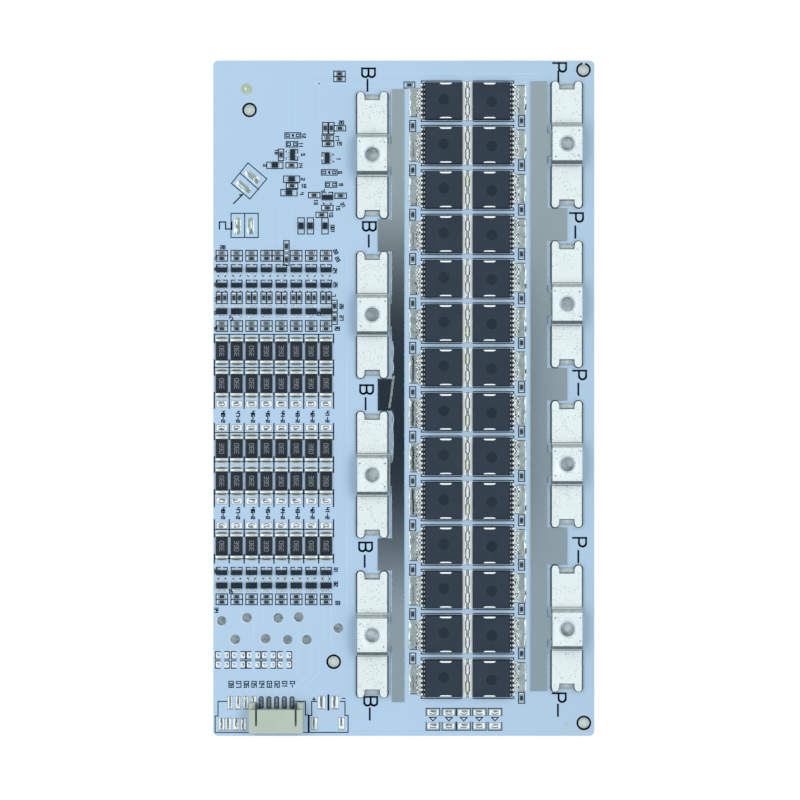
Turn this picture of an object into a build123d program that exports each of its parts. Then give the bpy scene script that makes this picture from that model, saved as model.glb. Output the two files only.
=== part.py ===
"""Battery management board: two columns of power transistors between two tinned conductor strips,
eight bridge terminals with threaded holes, a bank of balancing resistors and a side entry plug socket.

Millimetres. X runs along the board's width, Y along its length, Z up from its underside.
The origin is the middle of the underside.
"""
import os

from build123d import *

# Board
board_thickness = 2.0
board_corner_radius = 1.2
mounting_hole_diameter = 3.0
left_margin = 2.2
right_margin = 3.1
top_margin = 5.6
bottom_margin = 10.0
edge_hole_inset_x = 2.6
edge_hole_inset_top = 2.5
edge_hole_inset_bottom = 3.4
inner_hole_from_left = 9.4
inner_hole_from_top = 12.8
low_hole_from_left = 31.2
low_hole_from_bottom = 19.2

# Power transistors: a low flat package, leads on one side and a cooling tab on the other
transistor_rows = 14
transistor_gap = 1.6
package_width = 9.9
package_depth = 9.9
package_height = 2.3
package_draft = 7.0
lead_thickness = 0.5
lead_width = 0.7
lead_pitch = 1.2
lead_reach = 1.1
source_lead_count = 7
tab_width = 8.1
tab_reach = 0.7
tab_notch_width = 2.6
tab_notch_depth = 0.35
tab_notch_spacing = 4.0
tab_to_tab = 1.0

# Conductor strips
strip_thickness = 0.4
minus_strip_width = 3.4
output_strip_width = 4.5
minus_lead_to_strip = 4.1
output_lead_to_strip = 4.0
minus_tab_reach = 3.6
output_tab_reach = 5.2
minus_strip_inset = 1.85
minus_strip_overrun = 1.2
output_strip_rise = 0.2
output_strip_inset = 1.65
tongue_clearance = 0.6
tab_to_foot_clearance = 0.15

# Bridge terminals: one folded strip each, with a threaded hole in its raised middle
terminal_width = 8.15
terminal_length = 32.7
terminal_thickness = 1.5
terminal_height = 5.0
terminal_bridge_width = 10.2
bend_radius = 0.8
prong_width = 2.0
prong_tip_chamfer = 0.6
prong_notch_depth = 2.0
thread_minor_diameter = 3.3
terminal_to_strip = 0.9
resistors_to_terminal = 7.9
terminal_gap = 8.65
minus_terminals_inset = 8.25
output_terminals_inset = 5.5
last_output_terminal_shift = 1.2

# Balancing channels: one column of parts for each cell
channel_count = 8
channel_pitch = 3.86
resistor_length = 6.35
resistor_width = 3.15
resistor_height = 0.6
resistor_end_length = 0.7
resistor_row_gap = 2.07
resistor_row_count = 7
empty_resistor_rows = (3, 6)

# Small parts
chip_length = 1.6
chip_width = 0.8
chip_resistor_height = 0.45
chip_capacitor_height = 0.8
small_package_length = 2.92
small_package_width = 1.3
small_package_height = 1.0
wide_package_width = 1.6
small_package_draft = 7.0
chip_pair_spacing = 1.5
diode_length = 1.7
diode_width = 1.25
diode_height = 0.95
gate_resistor_from_lead = 2.0
output_gate_resistor_from_lead = 1.8
gate_resistor_drop = 6.4
output_gate_resistor_drop = 5.1
first_gate_resistor_from_lead = 2.85
first_gate_resistor_rise = 4.2

# Rows of small parts across the channels, from the top down: the space above each row
channel_rows_from_top = 49.5
chip_row_space = 0.6
lead_space = 1.9
double_lead_space = 2.7
chip_pair_space = 1.8
resistor_bank_space = 2.2
below_bank_space = 3.05
low_chip_space = 1.7
odd_chip_channel = 5
odd_chip_shift = -0.98

# Loose small parts of the control corner: across from the left edge and down from the top edge
upright_chips = (
    (18.95, 48.15), (18.95, 51.6), (31.4, 63.6), (31.4, 66.9), (17.55, 24.45), (29.0, 17.55), (30.6, 17.55),
)
level_chips = (
    (32.7, 3.45), (32.7, 4.8), (32.8, 17.55), (29.75, 21.6), (20.3, 27.15), (20.4, 32.45),
    (26.15, 34.9), (33.0, 35.05), (29.55, 38.2), (28.1, 40.0),
)
loose_capacitor = (29.65, 20.05)
lead_right_transistor = (20.55, 24.45)
lead_left_transistor = (29.5, 25.3)
lead_up_transistor = (29.55, 35.5)
level_diodes = ((15.95, 27.15), (20.3, 30.75), (19.6, 34.25))
upright_diodes = ((22.75, 42.85), (25.15, 42.85), (28.95, 42.85))

# Plug socket
socket_ways = 5
socket_pitch = 2.0
socket_wall = 0.55
socket_end_wall = 0.75
socket_depth = 6.1
socket_height = 5.5
socket_back_wall = 1.2
socket_side_space = 2.2
socket_ear_length = 1.6
socket_ear_width = 1.6
socket_ear_height = 3.85
socket_from_left = 16.4
socket_from_bottom = 1.1
socket_slot_width = 0.5
socket_slot_length = 4.2
socket_slot_inset = 1.85
contact_size = 0.5
contact_reach = 3.2
contact_tail = 2.6

# Layout across the board, worked out from left to right
package_overall = lead_reach + package_depth + tab_reach
transistor_pitch = package_width + transistor_gap
board_width = (
    left_margin + (channel_count - 1) * channel_pitch + resistors_to_terminal
    + terminal_width + terminal_to_strip + minus_strip_width + minus_lead_to_strip
    + 2 * package_overall + tab_to_tab
    + output_lead_to_strip + output_strip_width + terminal_to_strip + terminal_width + right_margin
)
board_length = top_margin + (transistor_rows - 1) * transistor_pitch + package_width + bottom_margin
left_edge = -board_width / 2
top_edge = board_length / 2
minus_terminal_x = (
    left_edge + left_margin + (channel_count - 1) * channel_pitch
    + resistors_to_terminal + terminal_width / 2
)
minus_strip_left = minus_terminal_x + terminal_width / 2 + terminal_to_strip
minus_strip_right = minus_strip_left + minus_strip_width
left_lead_tip = minus_strip_right + minus_lead_to_strip
tabs_meet_x = left_lead_tip + package_overall + tab_to_tab / 2
right_lead_tip = tabs_meet_x + tab_to_tab / 2 + package_overall
output_strip_left = right_lead_tip + output_lead_to_strip
output_strip_right = output_strip_left + output_strip_width
output_terminal_x = output_strip_right + terminal_to_strip + terminal_width / 2

# Places along the board, from the top edge down
row_y = [
    top_edge - top_margin - package_width / 2 - row * transistor_pitch
    for row in range(transistor_rows)
]
terminals_per_side = 4
terminal_pitch = terminal_length + terminal_gap
minus_terminal_y = [
    top_edge - minus_terminals_inset - terminal_length / 2 - index * terminal_pitch
    for index in range(terminals_per_side)
]
output_terminal_y = [
    top_edge - output_terminals_inset - terminal_length / 2 - index * terminal_pitch
    - (last_output_terminal_shift if index == terminals_per_side - 1 else 0)
    for index in range(terminals_per_side)
]
channel_x = [left_edge + left_margin + index * channel_pitch for index in range(channel_count)]

# Rows across the channels: how far each row's middle lies below the top edge
upper_capacitor_row = channel_rows_from_top + chip_width / 2
upper_chip_row = upper_capacitor_row + chip_width + chip_row_space
upper_transistor_row = upper_chip_row + chip_width / 2 + lead_space + small_package_width / 2
middle_transistor_row = upper_transistor_row + small_package_width + double_lead_space
chip_pair_row = middle_transistor_row + small_package_width / 2 + chip_pair_space + chip_length / 2
six_lead_row = chip_pair_row + chip_length / 2 + lead_space + wide_package_width / 2
lower_capacitor_row = six_lead_row + wide_package_width / 2 + lead_space + chip_width / 2
lower_chip_row = lower_capacitor_row + chip_width + chip_row_space
resistor_pitch = resistor_length + resistor_row_gap
first_resistor_row = lower_chip_row + chip_width / 2 + resistor_bank_space + resistor_length / 2
last_resistor_row = first_resistor_row + (resistor_row_count - 1) * resistor_pitch
low_transistor_row = last_resistor_row + resistor_length / 2 + below_bank_space + small_package_width / 2
five_lead_row = low_transistor_row + small_package_width / 2 + lead_space + wide_package_width / 2
low_chip_row = five_lead_row + wide_package_width / 2 + low_chip_space + chip_width / 2
last_chip_row = low_chip_row + chip_width + chip_row_space


def from_top_left(across, down, turn=0.0):
    """A place on the board's top face, measured from its left and top edges."""
    return Location((left_edge + across, top_edge - down, board_thickness), (0, 0, turn))


def from_bottom_left(across, up, turn=0.0):
    """A place on the board's top face, measured from its left and bottom edges."""
    return Location((left_edge + across, -top_edge + up, board_thickness), (0, 0, turn))


def on_board(x, y, turn=0.0):
    """A place on the board's top face, measured from its middle."""
    return Location((x, y, board_thickness), (0, 0, turn))


def block(length, width, height, centre=(0.0, 0.0), base=0.0):
    """An upright box that stands on the height base."""
    return Pos(centre[0], centre[1], base + height / 2) * Box(length, width, height)


def only_solid(shape):
    """The single solid of a shape that is one piece."""
    return shape.solids()[0]


def write(name, solids):
    """Write one node: a single solid, or separate solids of one kind."""
    shape = solids[0] if len(solids) == 1 else Compound(children=solids)
    export_step(shape, f"parts/{name}.step")


def mounting_hole_places():
    """The centres of the four mounting holes."""
    right_edge = left_edge + board_width
    return [
        (left_edge + inner_hole_from_left, top_edge - inner_hole_from_top),
        (right_edge - edge_hole_inset_x, top_edge - edge_hole_inset_top),
        (right_edge - edge_hole_inset_x, -top_edge + edge_hole_inset_bottom),
        (left_edge + low_hole_from_left, -top_edge + low_hole_from_bottom),
    ]


def circuit_board():
    """The flat board with its four mounting holes."""
    outline = RectangleRounded(board_width, board_length, board_corner_radius)
    holes = [Pos(x, y) * Circle(mounting_hole_diameter / 2) for x, y in mounting_hole_places()]
    return only_solid(extrude(outline - holes, board_thickness))


def terminal():
    """One bridge terminal: a strip folded up and over, notched at both ends and bored in the middle."""
    half = terminal_length / 2
    wall = terminal_bridge_width / 2
    inner = wall - terminal_thickness
    under = terminal_height - terminal_thickness
    fold = make_face(Polyline(
        (-half, 0), (-inner, 0), (-inner, under), (inner, under), (inner, 0), (half, 0),
        (half, terminal_thickness), (wall, terminal_thickness), (wall, terminal_height),
        (-wall, terminal_height), (-wall, terminal_thickness), (-half, terminal_thickness),
        close=True,
    ))
    bends = fold.vertices().group_by(Axis.Y)[-1]
    strip = extrude(Plane.YZ * fillet(bends, bend_radius), terminal_width / 2, both=True)
    corners = [edge for edge in strip.edges().filter_by(Axis.Z) if abs(abs(edge.center().Y) - half) < 0.01]
    strip = chamfer(corners, prong_tip_chamfer)
    base = terminal_width / 2 - prong_width
    mouth = base + prong_tip_chamfer
    notch = extrude(make_face(Polyline(
        (-mouth, half), (-base, half - prong_notch_depth), (base, half - prong_notch_depth), (mouth, half),
        close=True,
    )), terminal_height)
    strip -= [notch, notch.rotate(Axis.Z, 180)]
    bore = Pos(0, 0, terminal_height) * Cylinder(thread_minor_diameter / 2, 4 * terminal_thickness)
    return only_solid(strip - bore)


def conductor_strip(near_x, far_x, side, terminal_x, terminal_places, tab_reach_out, top, bottom):
    """A flat strip beside a row of terminals, with tabs between them and a tongue under each bridge.

    near_x is the edge beside the terminals, far_x the other one, and side is -1 where the
    terminals stand to the left of the strip and 1 where they stand to its right.
    """
    middle = (near_x + far_x) / 2
    sheet = Pos(middle, (top + bottom) / 2) * Rectangle(abs(far_x - near_x), top - bottom)
    tongue_width = terminal_bridge_width - 2 * terminal_thickness - 2 * tongue_clearance
    for y in terminal_places:
        sheet += Pos((middle + terminal_x) / 2, y) * Rectangle(abs(middle - terminal_x), tongue_width)
    tab_end = near_x + side * tab_reach_out
    for above, below in zip(terminal_places, terminal_places[1:]):
        height = above - below - terminal_length - 2 * tab_to_foot_clearance
        sheet += Pos((middle + tab_end) / 2, (above + below) / 2) * Rectangle(abs(middle - tab_end), height)
    return only_solid(Pos(0, 0, board_thickness) * extrude(sheet, strip_thickness))


def package_body():
    """A power transistor's moulded body, a low block with drafted sides."""
    return only_solid(extrude(Rectangle(package_depth, package_width), package_height, taper=package_draft))


def package_leads():
    """The eight flat leads that show on the left: one gate lead at the top and seven source leads."""
    middle = -(package_depth + lead_reach) / 2
    first = source_lead_count * lead_pitch / 2
    return [
        only_solid(block(lead_reach, lead_width, lead_thickness, centre=(middle, first - n * lead_pitch)))
        for n in range(source_lead_count + 1)
    ]


def package_tab():
    """The cooling tab that shows on the right, with two notches in its outer edge."""
    tip = package_depth / 2 + tab_reach
    plate = Pos(tip - tab_reach / 2, 0) * Rectangle(tab_reach, tab_width)
    for side in (-1, 1):
        plate -= Pos(tip, side * tab_notch_spacing / 2) * Rectangle(2 * tab_notch_depth, tab_notch_width)
    return only_solid(extrude(plate, lead_thickness))


def left_package_places():
    """The places of the left column's packages, leads towards the minus strip."""
    x = left_lead_tip + lead_reach + package_depth / 2
    return [on_board(x, y) for y in row_y]


def right_package_places():
    """The places of the right column's packages, turned about so that their leads face the output strip."""
    x = right_lead_tip - lead_reach - package_depth / 2
    return [on_board(x, y, 180) for y in row_y]


def placed(solids, places):
    """Every solid at every place."""
    return [solid.moved(place) for place in places for solid in solids]


def resistor_row_depths():
    """How far each row of balancing resistors lies below the board's top edge."""
    return [
        first_resistor_row + row * resistor_pitch
        for row in range(resistor_row_count)
        if row + 1 not in empty_resistor_rows
    ]


def resistor_body():
    """The dark middle of a balancing resistor, set along Y."""
    return only_solid(block(resistor_width, resistor_length - 2 * resistor_end_length, resistor_height))


def resistor_ends():
    """The two tinned end caps of a balancing resistor."""
    reach = (resistor_length - resistor_end_length) / 2
    return [
        only_solid(block(resistor_width, resistor_end_length, resistor_height, centre=(0, side * reach)))
        for side in (-1, 1)
    ]


def chip(height):
    """A small chip resistor or capacitor, set along X."""
    return only_solid(block(chip_length, chip_width, height))


def small_package(width):
    """The moulded body of a small transistor or amplifier, its leads above and below."""
    return only_solid(extrude(Rectangle(small_package_length, width), small_package_height,
                              taper=small_package_draft))


def channel_row(down, shift=0.0, turn=0.0):
    """One place in each balancing channel, the same distance below the board's top edge."""
    return [on_board(x + shift, top_edge - down, turn) for x in channel_x]


def upper_row(down):
    """A row above the bank, where one channel's chip sits further left than the others."""
    return [
        on_board(x + (odd_chip_shift if channel == odd_chip_channel else 0), top_edge - down)
        for channel, x in enumerate(channel_x, 1)
    ]


def three_lead_places():
    """The places of the three lead transistors, the single lead pointing up."""
    rows = (
        channel_row(upper_transistor_row) + channel_row(middle_transistor_row)
        + channel_row(low_transistor_row)
    )
    loose = [
        from_top_left(*lead_right_transistor, -90), from_top_left(*lead_left_transistor, 90),
        from_top_left(*lead_up_transistor),
    ]
    return rows + loose


def chip_resistor_places():
    """The places of the chip resistors of the channels and of the control part of the board."""
    rows = (
        upper_row(upper_chip_row) + channel_row(lower_chip_row)
        + channel_row(low_chip_row) + channel_row(last_chip_row)
    )
    pairs = [
        place for side in (-1, 1) for place in channel_row(chip_pair_row, side * chip_pair_spacing / 2, 90)
    ]
    upright = [from_top_left(x, y, 90) for x, y in upright_chips]
    level = [from_top_left(x, y) for x, y in level_chips]
    return rows + pairs + upright + level


def chip_capacitor_places():
    """The places of the chip capacitors."""
    rows = upper_row(upper_capacitor_row) + channel_row(lower_capacitor_row)
    return rows + [from_top_left(*loose_capacitor)]


def gate_resistor_places():
    """One gate resistor for each transistor, upright beside its column but for the first one."""
    first = on_board(left_lead_tip - first_gate_resistor_from_lead, row_y[0] + first_gate_resistor_rise)
    left_x = left_lead_tip - gate_resistor_from_lead
    left = [on_board(left_x, y - gate_resistor_drop, 90) for y in row_y[:-1]]
    right_x = right_lead_tip + output_gate_resistor_from_lead
    right = [on_board(right_x, y - output_gate_resistor_drop, 90) for y in row_y]
    return [first] + left + right


def diode_places():
    """The places of the small signal diodes."""
    level = [from_top_left(x, y) for x, y in level_diodes]
    return level + [from_top_left(x, y, 90) for x, y in upright_diodes]


def socket_width():
    """The plug socket's width over its end walls."""
    return (socket_ways - 1) * socket_pitch + 2 * (socket_side_space + socket_end_wall)


def contact_places():
    """The contacts' places across the socket, from its middle."""
    return [(n - (socket_ways - 1) / 2) * socket_pitch for n in range(socket_ways)]


def socket_housing():
    """The plug socket: a moulded box whose mouth faces the board's edge, with two ears at its back."""
    width = socket_width()
    shell = block(width, socket_depth, socket_height)
    inner_width = width - 2 * socket_end_wall
    inner_depth = socket_depth - socket_back_wall
    shell -= block(inner_width, inner_depth, socket_height - 2 * socket_wall,
                   centre=(0, -socket_back_wall / 2), base=socket_wall)
    slot_y = (socket_depth - socket_slot_length) / 2
    for side in (-1, 1):
        slot_x = side * (width / 2 - socket_slot_inset)
        shell -= block(socket_slot_width, socket_slot_length, 2 * socket_wall,
                       centre=(slot_x, slot_y), base=socket_height - socket_wall)
        ear_x = side * (width - socket_ear_width) / 2
        shell += block(socket_ear_width, socket_ear_length, socket_ear_height,
                       centre=(ear_x, (socket_depth + socket_ear_length) / 2))
    for x in contact_places():
        shell -= block(contact_size, 2 * socket_back_wall, contact_size,
                       centre=(x, socket_depth / 2), base=(socket_height - contact_size) / 2)
    return only_solid(shell)


def socket_contact():
    """One contact: a square pin through the back wall, bent down to a tail on the board."""
    middle = socket_height / 2
    back = socket_depth / 2
    start = back - socket_back_wall - contact_reach
    pin = block(contact_size, back + contact_size - start, contact_size,
                centre=(0, (back + contact_size + start) / 2), base=middle - contact_size / 2)
    drop = block(contact_size, contact_size, middle, centre=(0, back + contact_size / 2))
    tail = block(contact_size, contact_tail, contact_size / 2, centre=(0, back + contact_tail / 2))
    return only_solid(pin + drop + tail)


def socket_place():
    """The middle of the socket's footprint."""
    return from_bottom_left(socket_from_left, socket_from_bottom + socket_depth / 2)


def build():
    """Build every node and write it."""
    os.makedirs("parts", exist_ok=True)
    write("circuit_board", [circuit_board()])

    bridge = terminal()
    for number, y in enumerate(minus_terminal_y, 1):
        write(f"battery_terminal_{number}", [bridge.moved(on_board(minus_terminal_x, y))])
    for number, y in enumerate(output_terminal_y, 1):
        write(f"output_terminal_{number}", [bridge.moved(on_board(output_terminal_x, y))])

    column_top = row_y[0] + package_width / 2
    column_bottom = row_y[-1] - package_width / 2
    write("battery_strip", [conductor_strip(
        minus_strip_left, minus_strip_right, -1, minus_terminal_x, minus_terminal_y, minus_tab_reach,
        column_top - minus_strip_inset, column_bottom - minus_strip_overrun,
    )])
    write("output_strip", [conductor_strip(
        output_strip_right, output_strip_left, 1, output_terminal_x, output_terminal_y, output_tab_reach,
        column_top + output_strip_rise, column_bottom + output_strip_inset,
    )])

    body = package_body()
    leads = package_leads()
    tab = package_tab()
    for side, places in (("left", left_package_places()), ("right", right_package_places())):
        for number, place in enumerate(places, 1):
            write(f"power_transistor_{side}_{number:02d}", [body.moved(place)])
        write(f"transistor_leads_{side}", placed(leads, places))
        write(f"transistor_tabs_{side}", placed([tab], places))

    resistor_places = []
    for number, down in enumerate(resistor_row_depths(), 1):
        row = channel_row(down)
        resistor_places += row
        write(f"balancing_resistors_row_{number}", placed([resistor_body()], row))
    write("balancing_resistor_ends", placed(resistor_ends(), resistor_places))

    write("gate_resistors", placed([chip(chip_resistor_height)], gate_resistor_places()))
    write("chip_resistors", placed([chip(chip_resistor_height)], chip_resistor_places()))
    write("chip_capacitors", placed([chip(chip_capacitor_height)], chip_capacitor_places()))

    three_lead = three_lead_places()
    six_lead = channel_row(six_lead_row)
    five_lead = channel_row(five_lead_row)
    write("small_transistors", placed([small_package(small_package_width)], three_lead))
    write("small_amplifiers", placed([small_package(wide_package_width)], six_lead + five_lead))

    diode = only_solid(block(diode_length, diode_width, diode_height))
    write("small_diodes", placed([diode], diode_places()))

    write("socket_housing", [socket_housing().moved(socket_place())])
    contact = socket_contact()
    places = [socket_place() * Pos(x, 0, 0) for x in contact_places()]
    write("socket_contacts", placed([contact], places))


build()
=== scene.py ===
"""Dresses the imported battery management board: finishes, solder, print and the small forms of its parts.

Forms are worked out in millimetres on the board and turned into metres when a piece is made.
X runs across the board, Y along it, Z up out of the face that carries the parts.
"""

import logging
import math
from dataclasses import dataclass, field
from enum import Enum
from typing import Iterable, Sequence

import bpy
import numpy as np
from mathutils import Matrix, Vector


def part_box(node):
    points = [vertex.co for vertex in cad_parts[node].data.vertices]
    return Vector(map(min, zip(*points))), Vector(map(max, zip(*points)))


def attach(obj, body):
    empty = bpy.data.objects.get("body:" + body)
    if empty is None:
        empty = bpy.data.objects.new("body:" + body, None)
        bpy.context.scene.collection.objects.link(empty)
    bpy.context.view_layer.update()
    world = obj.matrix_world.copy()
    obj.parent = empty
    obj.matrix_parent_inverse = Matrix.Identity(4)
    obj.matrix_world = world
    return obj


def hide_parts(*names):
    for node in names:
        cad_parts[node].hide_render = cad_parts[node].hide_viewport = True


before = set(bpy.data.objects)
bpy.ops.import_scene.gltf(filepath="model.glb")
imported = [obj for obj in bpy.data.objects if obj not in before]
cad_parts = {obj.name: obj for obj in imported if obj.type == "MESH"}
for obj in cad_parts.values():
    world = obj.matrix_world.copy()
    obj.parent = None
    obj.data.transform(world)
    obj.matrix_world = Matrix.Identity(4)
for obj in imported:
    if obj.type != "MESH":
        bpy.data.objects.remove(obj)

MM = 0.001
LOG = logging.getLogger("board")
Tone = tuple[float, float, float, float]
Pairs = tuple[tuple[float, float], ...]
Triples = tuple[tuple[float, float, float], ...]
Labels = tuple[tuple[str, float, float, float], ...]


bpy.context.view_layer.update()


# Forms: closed surfaces worked out as whole arrays


@dataclass(frozen=True)
class Form:
    """A surface in millimetres.

    points holds one row for each point, faces one array of point numbers for each group of
    faces, and finishes the number of the finish that each group wears.
    """

    points: np.ndarray
    faces: tuple[np.ndarray, ...]
    finishes: tuple[int, ...]

    def moved(self, x: float = 0.0, y: float = 0.0, z: float = 0.0) -> "Form":
        """The form shifted by x, y and z."""
        return Form(self.points + np.array([x, y, z]), self.faces, self.finishes)

    def turned(self, degrees: float) -> "Form":
        """The form turned anticlockwise about Z."""
        return self.repeated(np.array([[0.0, 0.0, 0.0, degrees]]))

    def wearing(self, finish: int) -> "Form":
        """The form with every face in one finish."""
        return Form(self.points, self.faces, (finish,) * len(self.faces))

    def repeated(self, places: np.ndarray) -> "Form":
        """Copies of the form at many places.

        Each point is turned about Z by the place's angle and then shifted to the place.

        Args:
            places: One row for each copy: x, y, z and the angle in degrees.

        Returns:
            One form that holds every copy.
        """
        places = np.asarray(places, float).reshape(-1, 4)
        angle = np.radians(places[:, 3])[:, None]
        x = self.points[:, 0] * np.cos(angle) - self.points[:, 1] * np.sin(angle) + places[:, 0:1]
        y = self.points[:, 0] * np.sin(angle) + self.points[:, 1] * np.cos(angle) + places[:, 1:2]
        z = self.points[:, 2] + places[:, 2:3]
        offset = np.arange(len(places))[:, None, None] * len(self.points)
        faces = tuple((group[None] + offset).reshape(-1, group.shape[1]) for group in self.faces)
        return Form(np.stack([x, y, z], -1).reshape(-1, 3), faces, self.finishes)


def joined(forms: Iterable[Form]) -> Form:
    """Several forms as one, without merging any points.

    Args:
        forms: The forms.

    Returns:
        One form with the points and faces of all.
    """
    forms = list(forms)
    starts = np.cumsum([0] + [len(form.points) for form in forms])
    faces = tuple(group + start for form, start in zip(forms, starts) for group in form.faces)
    finishes = tuple(finish for form in forms for finish in form.finishes)
    return Form(np.vstack([form.points for form in forms]), faces, finishes)


def merged(form: Form, grain: float = 1e-4) -> Form:
    """The form with points that coincide made one.

    Args:
        form: The form to merge.
        grain: How close two points lie to count as one, in millimetres.

    Returns:
        The same surface with shared points.
    """
    keys = np.round(form.points / grain).astype(np.int64)
    _, first, number = np.unique(keys, axis=0, return_index=True, return_inverse=True)
    order = np.argsort(first)
    rank = np.empty_like(order)
    rank[order] = np.arange(len(order))
    number = rank[number.reshape(-1)]
    return Form(form.points[first[order]], tuple(number[group] for group in form.faces), form.finishes)


def outline(length: float, width: float, radius: float, corner: int = 3, side: int = 1) -> np.ndarray:
    """A rectangle with round corners, anticlockwise.

    Each corner is a quarter circle about a point that lies radius inside both sides, and the
    straight sides between the corners are divided evenly.

    Args:
        length: The size along X.
        width: The size along Y.
        radius: The corners' radius.
        corner: Steps round each corner.
        side: Steps along each side.

    Returns:
        The points as rows of x and y.
    """
    quarter = np.linspace(0.0, math.pi / 2, corner + 1)
    angle = np.arange(4)[:, None] * math.pi / 2 + quarter[None]
    centre = np.array([[1, 1], [-1, 1], [-1, -1], [1, -1]]) * (np.array([length, width]) / 2 - radius)
    arcs = centre[:, None, :] + radius * np.stack([np.cos(angle), np.sin(angle)], -1)
    share = np.linspace(0.0, 1.0, side + 1)[1:-1][None, :, None]
    runs = arcs[:, -1:, :] * (1 - share) + np.roll(arcs, -1, 0)[:, :1, :] * share
    return np.concatenate([arcs, runs], 1).reshape(-1, 2)


def ring_faces(index: np.ndarray) -> np.ndarray:
    """The four point numbers of each cell between neighbouring rings, which are the rows given."""
    following = np.roll(index, -1, 1)
    return np.stack([index[:-1], following[:-1], following[1:], index[1:]], -1).reshape(-1, 4)


def loft(rings: np.ndarray, finish: int = 0) -> Form:
    """A closed surface through a stack of rings.

    Neighbouring rings are joined point by point, and the first and last ring are closed by
    triangles that meet in the ring's mean point.

    Args:
        rings: Rings by points by three coordinates, each ring anticlockwise seen from the last one.
        finish: The number of the finish.

    Returns:
        The closed form.
    """
    count, around = rings.shape[:2]
    index = np.arange(count * around).reshape(count, around)
    following = np.roll(index, -1, 1)
    base = np.full(around, count * around)
    start = np.stack([base, following[0], index[0]], -1)
    end = np.stack([base + 1, index[-1], following[-1]], -1)
    points = np.vstack([rings.reshape(-1, 3), rings[0].mean(0), rings[-1].mean(0)])
    return Form(points, (ring_faces(index), np.vstack([start, end])), (finish, finish))


def raised(shape: np.ndarray, insets: Sequence[float], heights: Sequence[float], finish: int = 0) -> Form:
    """A block over an outline: each ring is the outline drawn in by an inset, at a height.

    The outline is drawn in by shrinking it along X and Y so that its sides move by the inset.

    Args:
        shape: The outline's points.
        insets: How far each ring is drawn in.
        heights: The height of each ring.
        finish: The number of the finish.

    Returns:
        The closed form.
    """
    half = np.abs(shape).max(0)
    scale = 1 - np.asarray(insets, float)[:, None] / half[None]
    rings = np.empty((len(scale), len(shape), 3))
    rings[:, :, :2] = shape[None] * scale[:, None, :]
    rings[:, :, 2] = np.asarray(heights, float)[:, None]
    return loft(rings, finish)


def block(length: float, width: float, height: float, base: float = 0.0, corner: float = 0.06,
          edge: float = 0.05, slope: float = 0.0, steps: int = 2, finish: int = 0) -> Form:
    """A block with round corners and a rounded upper edge.

    The wall leans in by slope for each millimetre that it rises, and its upper edge is a
    quarter circle.

    Args:
        length: The size along X at the base.
        width: The size along Y at the base.
        height: The full height.
        base: The height that it stands on.
        corner: The radius of the upright corners.
        edge: The radius of the upper edge.
        slope: How far the wall leans in for each millimetre.
        steps: Steps round the corners and the upper edge.
        finish: The number of the finish.

    Returns:
        The closed form.
    """
    rise = np.linspace(0.0, math.pi / 2, steps + 1)
    lean = slope * (height - edge)
    insets = np.concatenate([[0.0], lean + edge * (1 - np.cos(rise))])
    heights = base + np.concatenate([[0.0], height - edge + edge * np.sin(rise)])
    return raised(outline(length, width, corner, steps), insets, heights, finish)


def pillow(length: float, width: float, height: float, base: float = 0.0, corner: float = 0.15,
           steps: int = 3, finish: int = 0) -> Form:
    """A low mound over a rounded rectangle: its height follows a quarter of an ellipse inwards.

    Args:
        length: The size along X.
        width: The size along Y.
        height: The height of the crown.
        base: The height that it lies on.
        corner: The radius of the corners.
        steps: Rings from rim to crown.
        finish: The number of the finish.

    Returns:
        The closed form.
    """
    rise = np.linspace(0.0, math.pi / 2, steps + 2)[:-1]
    reach = min(length, width) / 2
    insets = reach * 0.9 * (1 - np.cos(rise))
    heights = base + height * np.sin(rise)
    return raised(outline(length, width, corner, 3), insets, heights, finish)


def swept(path: np.ndarray, width: float, thickness: float, finish: int = 0) -> Form:
    """A flat bar carried along a path in the plane of Y and Z, its width along X.

    At each point of the path the bar's section is a rectangle that stands square to the
    path's direction there, half the thickness on each side.

    Args:
        path: Rows of y and z.
        width: The bar's width.
        thickness: The bar's thickness.
        finish: The number of the finish.

    Returns:
        The closed form.
    """
    along = np.gradient(path, axis=0)
    along /= np.linalg.norm(along, axis=1, keepdims=True)
    normal = np.stack([-along[:, 1], along[:, 0]], -1) * thickness / 2
    upper, lower = path + normal, path - normal
    rings = np.empty((len(path), 4, 3))
    rings[:, [0, 3], 0] = width / 2
    rings[:, [1, 2], 0] = -width / 2
    rings[:, 0:2, 1:] = lower[:, None]
    rings[:, 2:4, 1:] = upper[:, None]
    return loft(rings[:, ::-1], finish)


def bars(runs: np.ndarray, width: float, base: float, height: float = 0.02, finish: int = 0) -> Form:
    """Straight flat bars, each from one point to another and half a width beyond both.

    Args:
        runs: One row for each bar: x and y of its start, x and y of its end.
        width: The bars' width.
        base: The height that they lie on.
        height: Their thickness.
        finish: The number of the finish.

    Returns:
        One form that holds every bar.
    """
    runs = np.asarray(runs, float).reshape(-1, 4)
    start, end = runs[:, :2], runs[:, 2:]
    span = end - start
    size = np.linalg.norm(span, axis=1, keepdims=True)
    along = np.where(size > 1e-9, span / np.maximum(size, 1e-9), np.array([[1.0, 0.0]])) * width / 2
    across = np.stack([-along[:, 1], along[:, 0]], -1)
    flat = np.stack([start - along - across, end + along - across, end + along + across,
                     start - along + across], 1)
    points = np.empty((len(runs), 8, 3))
    points[:, :4, :2] = flat
    points[:, 4:, :2] = flat
    points[:, :4, 2] = base
    points[:, 4:, 2] = base + height
    box = np.array([[0, 3, 2, 1], [4, 5, 6, 7], [0, 1, 5, 4], [1, 2, 6, 5], [2, 3, 7, 6], [3, 0, 4, 7]])
    faces = (box[None] + np.arange(len(runs))[:, None, None] * 8).reshape(-1, 4)
    return Form(points.reshape(-1, 3), (faces,), (finish,))


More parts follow.
